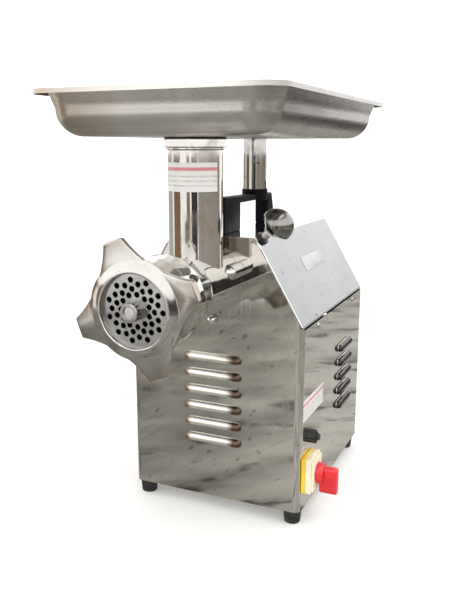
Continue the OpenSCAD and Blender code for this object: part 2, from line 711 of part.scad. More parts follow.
module start_capacitor() color([0.85, 0.85, 0.83]) translate([cap_x, cap_y, base_z + 1.5]) {
    cylinder(r = cap_r, h = cap_h);
    for (x = [-6, 6]) translate([x - 1, -3, cap_h]) cube([2, 6, 7]);
}
module capacitor_clip() color([0.5, 0.5, 0.52]) translate([cap_x, cap_y, base_z]) {
    cylinder(r = cap_r + 2, h = 1.5);
    translate([0, 0, 1.5]) difference() {
        cylinder(r = cap_r + 2, h = 14);
        translate([0, 0, -1]) cylinder(r = cap_r + gap, h = 16);
    }
}
module terminal_block() color([0.9, 0.9, 0.86]) translate([-96, rear_y - 70, base_z]) difference() {
    cube([20, 48, 16]);
    for (i = [0 : 4]) translate([10, 5.5 + i * block_pitch, 8]) cylinder(r = 2.6, h = 10);
    for (i = [0 : 3]) translate([-1, 9.6 + i * block_pitch, 10]) cube([22, 1.2, 8]);
}
module cable_gland() color([0.09, 0.09, 0.09]) translate([gland_x, rear_y, gland_z])
    rotate([-90, 0, 0]) difference() {
        union() {
            translate([0, 0, -8]) cylinder(r = 8, h = 9);
            cylinder(r = 11, h = 5);
            translate([0, 0, 5]) cylinder(r1 = 9.6, r2 = 7.4, h = 7);
            translate([0, 0, -sheet - 4]) cylinder(r = 11, h = 4, $fn = 6);
        }
        translate([0, 0, -9]) cylinder(r = cable_r, h = 22);
    }

// ---- controls on the right side -----------------------------------------------------------

// Local +Z points out of the casing's right side
module on_side(y, z, x) translate([x, y, z]) rotate([90, 0, 90]) children();

module rounded(w, h, r) {
    square([w - 2 * r, h], center = true);
    square([w, h - 2 * r], center = true);
    for (x = [-1, 1], y = [-1, 1]) translate([x * (w / 2 - r), y * (h / 2 - r)])
        circle(r = r, $fn = 32);
}
module switch_plate() color([0.93, 0.75, 0.1]) on_side(switch_y, switch_z, half_w) difference() {
    linear_extrude(switch_plate_t) rounded(switch_w, switch_h, 3);
    translate([0, 0, -1]) cylinder(r = 14, h = switch_plate_t + 2);
}
module switch_frame() color([0.93, 0.9, 0.78]) on_side(switch_y, switch_z, frame_x) difference() {
    union() {
        linear_extrude(switch_frame_t - 3) rounded(switch_w, switch_h, 3);
        translate([0, 0, switch_frame_t - 3]) linear_extrude(3) rounded(switch_w - 5, switch_h - 5, 3);
    }
    translate([0, 0, -1]) cylinder(r = 5, h = switch_frame_t + 2);
}
module switch_knob() color([0.85, 0.1, 0.12]) on_side(switch_y, switch_z, knob_x) {
    cylinder(r = knob_r, h = 9);
    translate([0, 0, 9]) linear_extrude(16) translate([0, -7.4]) rounded(11, 34.5, 5);
    translate([0, 0, -switch_frame_t - switch_plate_t - 8])
        cylinder(r = 3, h = switch_frame_t + switch_plate_t + 8);
}
module switch_body() color([0.15, 0.15, 0.16]) on_side(switch_y, switch_z, half_w - sheet - 42)
    difference() {
        linear_extrude(42) rounded(28, 40, 2);
        translate([0, 0, 32]) cylinder(r = 3 + gap, h = 12);
    }

module reset_bezel() color([0.07, 0.07, 0.08]) on_side(reset_y, reset_z, half_w) difference() {
    union() {
        cylinder(r = 6.4, h = 10);
        linear_extrude(9) for (a = [0 : 90 : 270]) rotate([0, 0, a])
            translate([5.4, 0]) circle(r = 3.6, $fn = 32);
    }
    translate([0, 0, -1]) cylinder(r = 4.3, h = 14);
}
module reset_button() color([0.06, 0.06, 0.06]) on_side(reset_y, reset_z, half_w) {
    translate([0, 0, 2]) cylinder(r = 4, h = 11);
    translate([0, 0, -11]) cylinder(r = 1.6, h = 13);
}
module reset_breaker() color([0.1, 0.1, 0.11]) on_side(reset_y, reset_z, half_w - sheet - 36)
    difference() {
        union() {
            linear_extrude(30) rounded(14, 32, 1.5);
            translate([0, 0, 30]) cylinder(r = 6, h = 6 + sheet);
        }
        translate([0, 0, 18]) cylinder(r = 4.4, h = 30);
    }
module reset_spring() color([0.7, 0.7, 0.7]) on_side(reset_y, reset_z, half_w - 12)
    for (i = [0 : 4]) translate([0, 0, i * 3 - 2]) rotate_extrude() translate([3.2, 0])
        circle(r = 0.5, $fn = 16);

// ---- clamp --------------------------------------------------------------------------------

module clamp_bush() color([0.06, 0.06, 0.06]) on_clamp(clamp_r)
    tube(clamp_screw_d / 2 + 3, clamp_screw_d / 2 + fit, clamp_bush_end - clamp_r);
module clamp_washer() color([0.85, 0.85, 0.83]) on_clamp(clamp_head - 7.5)
    tube(clamp_screw_d / 2 + 2.5, clamp_screw_d / 2 + fit, 1.5);
module clamp_screw() color([0.72, 0.72, 0.72]) {
    on_clamp(clamp_tip) cylinder(r1 = 2.2, r2 = clamp_screw_d / 2, h = 3);
    on_clamp(clamp_tip + 3) cylinder(r = clamp_screw_d / 2, h = clamp_head - clamp_tip - 9);
}
// A polished mushroom: a cone under a domed head
module clamp_knob() color([0.82, 0.82, 0.8]) on_clamp(clamp_head) {
    r = clamp_knob_d / 2;
    dome_h = r;
    translate([0, 0, -6]) cylinder(r1 = clamp_screw_d / 2 + 2.5, r2 = r - 1, h = 6);
    rotate_extrude() polygon(concat(
        [[0, 0], [r - 1, 0]],
        [for (a = [0 : 6 : 90]) [r * cos(a), 1.5 + dome_h * sin(a)]]
    ));
}

// ---- grinding head ------------------------------------------------------------------------

module head_outside() {
    on_axis(axis_z, 0) rotate_extrude() polygon([
        [0, -tail_len], [tail_r - 1, -tail_len], [tail_r, -tail_len + 1], [tail_r, 0],
        [tail_r + 0.6, 0.5], [tail_r + 0.6, cone_s], [collar_r - 2, collar_s - 4],
        [collar_r, collar_s], [collar_r, collar_s + collar_len], [thread_r, collar_s + collar_len],
        [thread_r, mouth_s - 1], [thread_r - 1, mouth_s], [0, mouth_s]
    ]);
    translate([0, front_y - neck_s, axis_z]) {
        cylinder(d = neck_d, h = neck_top - axis_z);
        translate([0, 0, neck_top - axis_z - 9]) cylinder(d = neck_flange_d, h = 9);
        translate([0, 0, neck_top - axis_z - 11.5]) cylinder(d = neck_d + 4, h = 2.5);
    }
    on_axis(axis_z, 0) rotate([0, 0, lug_angle]) translate([lug_at_r, 0, 0.5]) {
        cylinder(r = lug_r, h = lug_len - lug_r);
        translate([0, 0, lug_len - lug_r]) sphere(r = lug_r);
    }
}
module head_casting() color([0.75, 0.74, 0.71]) difference() {
    head_outside();
    on_axis(axis_z, -tail_len - 1) cylinder(r = bush_r, h = bush_len + 1);
    on_axis(axis_z, -tail_len + bush_len - 1) cylinder(r = journal_r + 1, h = 5);
    on_axis(axis_z, bore_start_s) cylinder(r = worm_bore_r, h = chamber_s - bore_start_s + 1);
    on_axis(axis_z, chamber_s) cylinder(r = chamber_r, h = mouth_s);
    translate([0, front_y - neck_s, axis_z]) cylinder(d = throat_d, h = neck_top);
    on_axis(axis_z, -1) rotate([0, 0, lug_angle]) translate([dowel_at_r, 0, 0])
        cylinder(r = dowel_r + 0.15, h = 16);
    on_axis(axis_z, plate_s) translate([0, chamber_r - 0.5, 0]) cylinder(r = 2, h = 6);
}
module tail_bush() color([0.72, 0.55, 0.28]) on_axis(axis_z, -tail_len)
    tube(bush_r, journal_r + fit, bush_len);

// The worm: a journal and a square tang behind, one flight, and the stud that carries the knife
module worm() color([0.68, 0.68, 0.69]) {
    flight_l = worm_end_s - bore_start_s - 1;
    on_axis(axis_z, -tail_len - tang_len) translate([-tang / 2, -tang / 2, 0])
        cube([tang, tang, tang_len]);
    on_axis(axis_z, -tail_len) cylinder(r = journal_r, h = bush_len + 4);
    on_axis(axis_z, bore_start_s + 1) cylinder(r = worm_core_r, h = flight_l);
    on_axis(axis_z, worm_end_s) cylinder(r = stud_r, h = stud_end_s - worm_end_s);
    on_axis(axis_z, worm_end_s) translate([-knife_square / 2, -knife_square / 2, 0])
        cube([knife_square, knife_square, 13]);
    on_axis(axis_z, bore_start_s + 1) linear_extrude(
        height = flight_l, twist = 360 * worm_turns, slices = 84, $fn = 8, convexity = 6
    ) flight_section();
}
// A sector of the worm's end view, which the twist sweeps into a helical flight
module flight_section() polygon(concat(
    [[0, 0]],
    [for (a = [-28 : 8 : 28]) let (t = abs(a) / 28, r = worm_r - t * t * 8) [r * cos(a), r * sin(a)]]
));

module knife() color([0.62, 0.63, 0.65]) on_axis(axis_z, worm_end_s + 2) difference() {
    union() {
        cylinder(r = 14, h = knife_t);
        for (a = [0 : 90 : 270]) rotate([0, 0, a]) linear_extrude(knife_t) polygon([
            [0, -7], [knife_r * 0.7, -6.2], [knife_r, -1], [knife_r, 3.5], [14, 6], [0, 7]
        ]);
    }
    translate([-knife_square / 2 - 0.1, -knife_square / 2 - 0.1, -1])
        cube([knife_square + 0.2, knife_square + 0.2, knife_t + 2]);
}

module grinding_plate() color([0.78, 0.78, 0.76]) on_axis(axis_z, plate_s) difference() {
    union() {
        cylinder(r = plate_r, h = plate_t);
        translate([0, 0, plate_t]) cylinder(r = hub_r, h = hub_len);
    }
    translate([0, 0, -1]) cylinder(r = hub_bore_r, h = plate_t + hub_len + 2);
    for (i = [0 : len(hole_rings) - 1], k = [0 : holes_per_ring - 1])
        rotate([0, 0, hole_phase + (k + (i % 2 == 0 ? 0.5 : 0)) * 360 / holes_per_ring])
        translate([hole_rings[i], 0, -1]) cylinder(d = hole_d, h = plate_t + 2, $fn = 24);
    translate([0, chamber_r - 0.5, -1]) cylinder(r = 2 + gap, h = plate_t + 2);
}
// The pin in the barrel's mouth that stops the plate from turning
module plate_key() color([0.6, 0.6, 0.6]) on_axis(axis_z, plate_s)
    translate([0, chamber_r - 0.5, 0]) cylinder(r = 2, h = 5);

// A ring nut with four lobes: concave arcs between flat tips
module ring_nut() color([0.78, 0.77, 0.74]) {
    tip_corner = sqrt(lobe_tip_r * lobe_tip_r + lobe_half_w * lobe_half_w);
    tip_angle = 45 - atan(lobe_half_w / lobe_tip_r);
    arc_at = (tip_corner * tip_corner - skirt_r * skirt_r)
        / (2 * (tip_corner * cos(tip_angle) - skirt_r));
    on_axis(axis_z, lobe_s) difference() {
        linear_extrude(lobe_t) rotate([0, 0, lobe_angle]) difference() {
            square(2 * lobe_tip_r, center = true);
            for (a = [45 : 90 : 315]) rotate([0, 0, a]) translate([arc_at, 0])
                circle(r = arc_at - skirt_r, $fn = 180);
        }
        translate([0, 0, -1]) cylinder(r = skirt_r - 1, h = lobe_t + 2);
    }
    on_axis(axis_z, 0) rotate_extrude() polygon([
        [ring_bore_r, ring_rear_s], [skirt_r - 1, ring_rear_s], [skirt_r, ring_rear_s + 1],
        [skirt_r, lobe_s + lobe_t], [ring_opening_r + 4, lip_s], [ring_opening_r + 1, lip_s],
        [ring_opening_r, lip_s - 1], [ring_opening_r, plate_face_s], [ring_bore_r, plate_face_s]
    ]);
}

// ---- tray ---------------------------------------------------------------------------------

module tray_gasket() color([0.12, 0.12, 0.12]) translate([0, front_y - neck_s, neck_top])
    tube(neck_flange_d / 2 - 1.5, throat_d / 2, 2);

// The tray's bowl, grown by t: balls at the bottom corners under a thin plate at the rim
module bowl(t, top) translate([0, tray_mid_y, 0]) intersection() {
    hull() {
        low_w = tray_in_w / 2 - tray_draft + t;
        low_l = tray_in_l / 2 - tray_draft + t;
        r = tray_bend_r + t;
        for (x = [-1, 1], y = [-1, 1]) {
            translate([x * (low_w - r), y * (low_l - r), tray_z + tray_sheet - t + r])
                sphere(r = r, $fn = facet_fn);
            translate([x * (tray_in_w / 2 + t - r), y * (tray_in_l / 2 + t - r), top - 1])
                cylinder(r = r, h = 1, $fn = facet_fn);
        }
    }
    translate([-tray_w, -tray_l, tray_z - 1]) cube([2 * tray_w, 2 * tray_l, top - tray_z + 1]);
}
module feed_tray() color([0.6, 0.58, 0.54]) {
    difference() {
        union() {
            bowl(tray_sheet, tray_rim_z);
            translate([0, tray_mid_y, tray_rim_z - tray_sheet]) linear_extrude(tray_sheet)
                rounded(tray_w, tray_l, tray_corner_r);
        }
        bowl(0, tray_rim_z + 1);
        translate([0, front_y - neck_s, tray_z - 5]) cylinder(r = spigot_r - 1.2, h = 20);
    }
    translate([0, tray_mid_y, tray_rim_z - rim_lip]) linear_extrude(rim_lip) difference() {
        rounded(tray_w, tray_l, tray_corner_r);
        rounded(tray_w - 2 * tray_sheet, tray_l - 2 * tray_sheet, tray_corner_r - tray_sheet);
    }
    translate([0, front_y - neck_s, tray_z - spigot_len])
        tube(spigot_r, spigot_r - 1.2, spigot_len + tray_sheet);
}

// ---- handle and post ----------------------------------------------------------------------

module carry_handle() color([0.05, 0.06, 0.08]) difference() {
    union() {
        translate([-handle_w / 2, 0, 0]) rotate([90, 0, 90]) linear_extrude(handle_w) difference() {
            polygon([
                [handle_y, case_top], [handle_y, handle_top - 3], [handle_y + 4, handle_top],
                [handle_y + handle_len, handle_top - 2],
                [handle_y + handle_len + 10, case_top + 8], [handle_y + handle_len + 11, case_top]
            ]);
            polygon([
                [handle_y + front_leg, case_top - 1], [handle_y + front_leg, handle_top - handle_bar],
                [handle_y + handle_len - rear_leg, handle_top - handle_bar],
                [handle_y + handle_len - rear_leg, case_top - 1]
            ]);
        }
        translate([0, post_y, handle_top - handle_bar]) cylinder(r = boss_r, h = handle_bar + boss_h - 2);
    }
    translate([0, post_y, handle_top + 1]) cylinder(r = post_d / 2, h = boss_h + 2);
    translate([0, post_y, case_top]) cylinder(r = 4.2, h = handle_h + 10);
    handle_holes(2.5, 14, case_top - 1);
}
module handle_holes(r, h, z) for (y = handle_bolt_y)
    translate([0, y, z]) cylinder(r = r, h = h);
module handle_bolts() color([0.6, 0.6, 0.6]) {
    handle_holes(2.5, cover_t + 12, case_top - cover_t);
    for (y = handle_bolt_y)
        translate([0, y, case_top - cover_t - 3.2]) cylinder(r = 4.5, h = 3.2, $fn = 6);
}
module tray_post() color([0.72, 0.71, 0.68]) translate([0, post_y, handle_top + 1]) difference() {
    cylinder(d = post_d, h = tray_z - 3.3 - handle_top - 1);
    translate([0, 0, 6]) cylinder(d = post_d - 4, h = 200);
    translate([0, 0, -1]) cylinder(r = 4.2, h = 10);
}
module post_cap() color([0.76, 0.75, 0.72]) translate([0, post_y, tray_z - 3.3]) {
    cylinder(d = post_d, h = 3);
    translate([0, 0, -8]) tube(post_d / 2 - 2, post_d / 2 - 4, 8);
}

casing_wrap();
top_cover();
rear_panel();
base_plate();
rubber_feet();
foot_screws();
cover_screws();
panel_nuts();
locating_dowel();
gear_case();
case_gasket();
gear_case_cover();
gear_case_bolts();
shaft_seal();
output_bearings();
output_shaft();
output_gear();
counter_bearings();
counter_shaft();
counter_pinion();
counter_gear();
motor_shell();
stator_core();
stator_windings();
rotor_core();
rotor_shaft();
motor_pinion();
rotor_bearings();
motor_end_bell();
motor_fan();
motor_cradle();
start_capacitor();
capacitor_clip();
terminal_block();
cable_gland();
switch_body();
switch_plate();
switch_frame();
switch_knob();
reset_breaker();
reset_bezel();
reset_button();
reset_spring();
clamp_bush();
clamp_screw();
clamp_knob();
clamp_washer();
head_casting();
tail_bush();
worm();
knife();
grinding_plate();
plate_key();
ring_nut();
tray_gasket();
feed_tray();
carry_handle();
tray_post();
post_cap();
handle_bolts();
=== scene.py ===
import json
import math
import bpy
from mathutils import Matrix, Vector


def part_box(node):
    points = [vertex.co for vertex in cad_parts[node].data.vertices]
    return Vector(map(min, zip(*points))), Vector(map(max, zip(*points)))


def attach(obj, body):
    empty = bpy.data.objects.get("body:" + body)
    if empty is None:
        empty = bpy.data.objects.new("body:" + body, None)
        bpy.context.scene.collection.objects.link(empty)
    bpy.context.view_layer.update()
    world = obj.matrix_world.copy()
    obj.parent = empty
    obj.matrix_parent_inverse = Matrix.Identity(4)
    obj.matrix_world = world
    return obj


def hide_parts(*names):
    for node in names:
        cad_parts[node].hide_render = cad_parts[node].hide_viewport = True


bl_info = {
    "name": "Meat Grinder Builder",
    "version": (1, 0, 0),
    "blender": (4, 5, 0),
    "location": "View3D > Sidebar > Grinder",
    "description": "Builds the finished pieces of an electric meat grinder around its frame",
    "category": "Add Mesh",
}

import bmesh
import bpy
from bpy.props import FloatProperty, FloatVectorProperty, IntProperty, PointerProperty
from mathutils import Matrix, Vector

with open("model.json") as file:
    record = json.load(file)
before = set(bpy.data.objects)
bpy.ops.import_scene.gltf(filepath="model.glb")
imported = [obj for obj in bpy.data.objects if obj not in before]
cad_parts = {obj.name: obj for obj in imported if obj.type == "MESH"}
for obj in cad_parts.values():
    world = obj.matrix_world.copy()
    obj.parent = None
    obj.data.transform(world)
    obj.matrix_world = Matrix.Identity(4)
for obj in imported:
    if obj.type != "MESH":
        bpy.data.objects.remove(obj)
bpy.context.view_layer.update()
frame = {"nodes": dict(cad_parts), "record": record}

MM = 0.001
UP = Vector((0, 0, 1))
QUARTER_TURN = math.radians(90)


# ---- places that the frame gives ----

COVER_LOW, COVER_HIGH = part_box("top_cover")
HALF_W = COVER_HIGH.x
TOP_Z = COVER_HIGH.z
SHOULDER_Z = COVER_LOW.z
REAR_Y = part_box("rear_panel")[1].y
FRONT_Y = -REAR_Y
LOW_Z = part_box("base_plate")[0].z

RING_LOW, RING_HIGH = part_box("ring_nut")
AXIS_Z = (RING_LOW.z + RING_HIGH.z) / 2
GASKET_LOW, GASKET_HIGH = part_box("tray_gasket")
NECK_Y = (GASKET_LOW.y + GASKET_HIGH.y) / 2
NECK_TOP = GASKET_LOW.z
TRAY_LOW, TRAY_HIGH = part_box("feed_tray")
HANDLE_LOW, HANDLE_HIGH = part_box("carry_handle")
POST_LOW, POST_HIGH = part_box("tray_post")
POST_Y = (POST_LOW.y + POST_HIGH.y) / 2
SWITCH_LOW, SWITCH_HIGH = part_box("switch_plate")

# Places along the head's axis, in mm ahead of the casing, and the ring nut's radii in mm.
PLATE_BACK, PLATE_FRONT = 171, 179
RING_BACK, LOBE_BACK, LOBE_THICK = 148, 172, 8
RING_SKIRT, RING_THREAD, RING_MOUTH = 49.55, 45.05, 37.5


def on_axis(distance):
    """Local Z points forwards along the head's axis, from this many mm ahead of the casing."""
    turn = Matrix.Rotation(QUARTER_TURN, 4, "X")
    return Matrix.Translation((0, FRONT_Y - distance * MM, AXIS_Z)) @ turn


def on_side(y, z, x):
    """Local Z points out of the casing's right side, and local Y points up."""
    turn = Matrix.Rotation(QUARTER_TURN, 4, "Z") @ Matrix.Rotation(QUARTER_TURN, 4, "X")
    return Matrix.Translation((x, y, z)) @ turn


def upright(x, y, z):
    return Matrix.Translation((x, y, z))


# ---- sizes and colours that a user would change ----


def length(name, description, default):
    return FloatProperty(
        name=name, description=description, default=default * MM, min=0, unit="LENGTH", precision=5
    )


def colour(name, description, default):
    return FloatVectorProperty(
        name=name, description=description, default=default, size=3, min=0, max=1, subtype="COLOR"
    )


class GrinderCasingSizes(bpy.types.PropertyGroup):
    slant: length("Slant width", "Width of each slant, seen from the front", 60)
    bend: length("Corner bend", "Radius of the upright bent corners", 9)
    ridge: length("Ridge bend", "Radius of the cover's folds", 2.6)
    sheet: length("Sheet", "Thickness of the casing's sheet", 1.2)
    cover: length("Cover sheet", "Thickness of the cover's sheet", 1.5)
    louvres: IntProperty(name="Louvres", description="Louvres in the front stack", default=6, min=1)
    louvre_top: length("Top louvre", "Height of the highest front louvre", 202)
    louvre_pitch: length("Louvre pitch", "Distance from one front louvre to the next", 21.4)
    side_louvres: IntProperty(
        name="Side louvres", description="Louvres in a side stack", default=5, min=1
    )
    side_louvre_top: length("Top side louvre", "Height of the highest side louvre", 185)
    side_louvre_pitch: length("Side pitch", "Distance from one side louvre to the next", 20.5)
    louvre_radius: length("Louvre depth", "How far a louvre stands out", 6.2)
    front_louvre: length("Front louvre", "Length of a front louvre", 76)
    side_louvre: length("Side louvre", "Length of a side louvre", 60)
    side_louvre_back: length("Side louvres' place", "Distance behind the front", 186)
    steel: colour("Steel", "Colour of the polished casing", (0.6, 0.585, 0.55))


class GrinderHeadSizes(bpy.types.PropertyGroup):
    tail: length("Tail radius", "Radius of the tail in the socket", 37.5)
    collar: length("Collar radius", "Radius of the collar behind the ring nut", 47.75)
    thread: length("Thread radius", "Outer radius of the threaded mouth", 44.75)
    chamber: length("Chamber radius", "Inner radius around the plate", 41.25)
    bore: length("Worm bore", "Radius of the worm's bore", 33)
    neck: length("Neck radius", "Outer radius of the feed neck", 30.5)
    throat: length("Throat radius", "Inner radius of the feed neck", 26)
    flange: length("Flange radius", "Radius of the neck's top flange", 35.5)
    hole: length("Plate hole", "Diameter of the plate's holes", 5.8)
    lobe_reach: length("Lobe reach", "Distance from the axis to a lobe's tip", 71.8)
    lobe_width: length("Lobe half width", "Half the width of a lobe's tip", 10.8)
    casting: colour("Casting", "Colour of the polished casting", (0.57, 0.555, 0.53))


class GrinderTraySizes(bpy.types.PropertyGroup):
    rim: length("Rim", "Width of the turned-out rim", 9)
    corner: length("Rim corner", "Radius of the rim's corners", 26)
    bowl_corner: length("Bowl corner", "Radius of the bowl's corners at the rim", 36)
    bend: length("Bottom bend", "Radius between the walls and the bottom", 28)
    draft: length("Draft", "How far the walls lean in", 6)
    sheet: length("Sheet", "Thickness of the tray's sheet", 1.2)
    steel: colour("Steel", "Colour of the brushed tray", (0.62, 0.6, 0.57))


class GrinderControlSizes(bpy.types.PropertyGroup):
    knob: length("Knob radius", "Radius of the switch's round base", 13.2)
    grip: length("Grip width", "Width of the switch's grip", 11)
    clamp_angle: FloatProperty(
        name="Clamp angle", description="Angle of the clamp screw above the right side",
        default=math.radians(42), subtype="ANGLE",
    )
    clamp_back: length("Clamp's place", "Distance of the clamp screw behind the front", 16)
    clamp_knob: length("Clamp knob", "Radius of the clamp knob", 20)
    clamp_seat: length("Clamp knob's height", "Distance from the axis to the knob's rim", 99)
    yellow: colour("Yellow", "Colour of the switch's plate", (0.86, 0.56, 0.025))
    red: colour("Red", "Colour of the switch's knob", (0.68, 0.012, 0.02))


class GrinderStageSizes(bpy.types.PropertyGroup):
    lens: FloatProperty(name="Lens", description="Focal length in mm", default=42.76, min=1)
    floor: length("Floor radius", "Radius of the flat floor", 1900)
    wall: length("Wall height", "Height of the curved wall", 2600)
    floor_light: FloatProperty(
        name="Floor glow", description="Light given by the floor", default=0.12
    )
    wall_light: FloatProperty(name="Wall glow", description="Light given by the wall", default=0.8)
    softbox: FloatProperty(name="Softbox", description="Power of the overhead softbox", default=18)


# ---- shader language ----


class Value:
    """A socket in a finish, so that shader maths reads as plain arithmetic."""

    def __init__(self, finish, socket):
        self.finish = finish
        self.socket = socket

    def _maths(self, operation, first, second):
        return self.finish.node("ShaderNodeMath", {"operation": operation}, {0: first, 1: second})

    def __add__(self, other):
        return self._maths("ADD", self, other)

    def __sub__(self, other):
        return self._maths("SUBTRACT", self, other)

    def __rsub__(self, other):
        return self._maths("SUBTRACT", other, self)

    def __mul__(self, other):
        return self._maths("MULTIPLY", self, other)

    def __pow__(self, other):
        return self._maths("POWER", self, other)

    __radd__ = __add__
    __rmul__ = __mul__

    def over(self, other):
        return self._maths("GREATER_THAN", self, other)

    def under(self, other):
        return self._maths("LESS_THAN", self, other)


class Finish:
    """A material with one Principled surface, built from procedural nodes."""

    def __init__(self, name, **constants):
        self.material = bpy.data.materials.new(name)
        self.material.use_nodes = True
        self.tree = self.material.node_tree
        self.tree.nodes.clear()
        self.surface = self.tree.nodes.new("ShaderNodeBsdfPrincipled")
        output = self.tree.nodes.new("ShaderNodeOutputMaterial")
        self.tree.links.new(self.surface.outputs[0], output.inputs[0])
        for socket, value in constants.items():
            self.surface.inputs[socket.replace("_", " ")].default_value = value
        self.where = self.node("ShaderNodeTexCoord", out="Object")

    def node(self, kind, settings=None, sockets=None, out=0):
        """Makes a node, with its settings first and then the values or links of its sockets."""
        made = self.tree.nodes.new(kind)
        for key, value in (settings or {}).items():
            if key == "stops":
                self._stops(made.color_ramp, value)
            else:
                setattr(made, key, value)
        for key, value in (sockets or {}).items():
            if isinstance(value, Value):
                self.tree.links.new(value.socket, made.inputs[key])
            else:
                made.inputs[key].default_value = value
        return Value(self, made.outputs[out])

    @staticmethod
    def _stops(ramp, stops):
        ends = (stops[0], stops[-1])
        for element, (position, shade) in zip(ramp.elements, ends):
            element.position = position
            element.color = (*shade, 1)
        for position, shade in stops[1:-1]:
            ramp.elements.new(position).color = (*shade, 1)

    def drive(self, socket, value):
        """Links a varying value to one of the surface's sockets."""
        self.tree.links.new(value.socket, self.surface.inputs[socket])
        return self

    def noise(self, scale, stretch=(1, 1, 1), detail=3, roughness=0.5, distortion=0, turn=None):
        """Noise in the piece's own coordinates, with this many features a metre."""
        spot = self.where
        if turn is not None:
            spot = self.node("ShaderNodeMapping", sockets={"Vector": spot, "Rotation": turn})
        spot = self.node("ShaderNodeMapping", sockets={"Vector": spot, "Scale": stretch})
        return self.node("ShaderNodeTexNoise", sockets={
            "Vector": spot, "Scale": scale, "Detail": detail, "Roughness": roughness,
            "Distortion": distortion,
        })

    def bands(self, scale, direction):
        """Even, rounded ridges across one direction."""
        return self.node(
            "ShaderNodeTexWave",
            {"wave_type": "BANDS", "bands_direction": direction, "wave_profile": "SIN"},
            {"Vector": self.where, "Scale": scale}, out="Fac",
        )

    def dress(self, base, rough, normal=None):
        """Gives the surface its varying colour, roughness and relief."""
        self.drive("Base Color", base).drive("Roughness", rough)
        return self if normal is None else self.drive("Normal", normal)

    def remap(self, value, low, high, to_low=0, to_high=1):
        """Carries a value from one range to another, and clamps it."""
        return self.node("ShaderNodeMapRange", sockets={
            "Value": value, "From Min": low, "From Max": high, "To Min": to_low, "To Max": to_high,
        })

    def blend(self, factor, first, second):
        """Mixes two colours."""
        def shade(value):
            return value if isinstance(value, Value) else (*value, 1)
        return self.node(
            "ShaderNodeMix", {"data_type": "RGBA"}, {0: factor, 6: shade(first), 7: shade(second)},
            out=2,
        )

    def fade(self, value, low, high, first, second, most=1):
        """Goes from the first colour towards the second as a value passes from low to high."""
        return self.blend(self.remap(value, low, high, 0, most), first, second)

    def axis(self, name):
        """One coordinate of the piece's own space."""
        return self.node("ShaderNodeSeparateXYZ", sockets={"Vector": self.where}, out=name)

    def bump(self, height, depth, onto=None):
        """A bump this deep in metres, over an earlier one if there is one."""
        sockets = {"Strength": 1.0, "Distance": depth, "Height": height}
        if onto is not None:
            sockets["Normal"] = onto
        return self.node("ShaderNodeBump", sockets=sockets)


def tone(shade, factor):
    return tuple(min(1.0, channel * factor) for channel in shade)


def polished_sheet(name, shade, roughness=0.07, wave=0.0004, streaks=(1, 1, 0.04), louvred=None,
                   edges=None):
    """Mirror-polished sheet steel: slow waves, wiping streaks, smudges and slanting scuffs."""
    f = Finish(name, Metallic=1.0)
    lean = (math.radians(32), math.radians(32), 0)
    smudge = f.remap(f.noise(34, detail=6, roughness=0.62, distortion=0.6), 0.56, 0.74)
    scuff = f.remap(f.noise(130, stretch=(0.4, 0.4, 1), detail=2, turn=lean), 0.67, 0.74)
    streak = f.noise(260, stretch=streaks, detail=3)
    base = f.fade(f.noise(9, detail=4), 0.3, 0.7, tone(shade, 0.9), tone(shade, 1.08))
    base = f.blend(smudge * 0.45, base, tone(shade, 0.8))
    base = f.blend(scuff * 0.75, base, tone(shade, 0.25))
    rough = roughness + smudge * 0.10 + f.remap(streak, 0.45, 0.75, 0, 0.07)
    # On the casing this adds painted light, painted shade and painted reflections on the hoods.
    if louvred is not None:
        base, rough = scratches_and_painted_light(f, shade, base, rough, *louvred)
    # On a cover this adds a painted highlight on its edges and folds and a painted shadow below
    # them.
    if edges is not None:
        base = painted_edge_light_and_shadow(f, base, *edges)
    slow = f.bump(f.noise(8.5, detail=1), wave)
    return f.dress(base, rough, f.bump(streak, 0.000004, onto=slow))


def scratches_and_painted_light(f, shade, base, rough, front, side, half):
    """Adds slanting scratches, and painted light, shade and reflections on the flats and hoods."""
    skin = 0.0003
    x, z = f.axis("X"), f.axis("Z")
    across = x * x
    ahead = f.axis("Y").under(front - skin)
    beside = across.over((side + skin) ** 2)
    flank = across.over((side - 0.002) ** 2)
    along_front = f.noise(300, stretch=(0.035, 0, 1), turn=(0, math.radians(33), 0))
    along_side = f.noise(300, stretch=(0, 0.035, 1), turn=(math.radians(33), 0, 0))
    scratch = along_front + flank * (along_side - along_front)
    base = f.fade(scratch, 0.55, 0.75, base, tone(shade, 0.55), 0.4)
    # Painted shade: the front darkens towards the bottom.
    low = f.remap(z, 0.03, 0.17, 0.45, 0.1) * (1 - flank)
    base = f.blend(low, base, tone(shade, 0.5))
    # Painted light: lighter towards the right, and all over the right side.
    base = f.fade(x, 0.02, side, base, tone(shade, 1.35), 0.55)
    # Painted reflections on the front hoods: pale in the middle, brown at the left end, dark at the
    # right end.
    hood = f.fade(x, half * -0.74, half * -0.88, (0.86, 0.83, 0.76), (0.3, 0.2, 0.13))
    hood = f.fade(x, half * 0.5, half * 0.74, hood, (0.13, 0.09, 0.065))
    # Painted shade: the side hoods are made nearly black.
    base = f.blend(beside, f.blend(ahead, base, hood), (0.05, 0.047, 0.045))
    return base, rough + ahead * 0.25 + beside * 0.15


def painted_edge_light_and_shadow(f, base, front, low, high):
    """Paints a highlight on a cover's front edge and folds, and a shadow along its lower edges."""
    # Painted highlight along the front edge and the folds.
    bright = 1 - (1 - f.axis("Y").under(front + 0.002)) * (1 - f.axis("Z").over(high - 0.002))
    base = f.blend(bright * 0.8, base, (0.9, 0.9, 0.9))
    # Painted shadow along the lower edges, where the cover overhangs the casing's sides.
    return f.blend(f.axis("Z").under(low + 0.0016), base, (0.1, 0.1, 0.1))


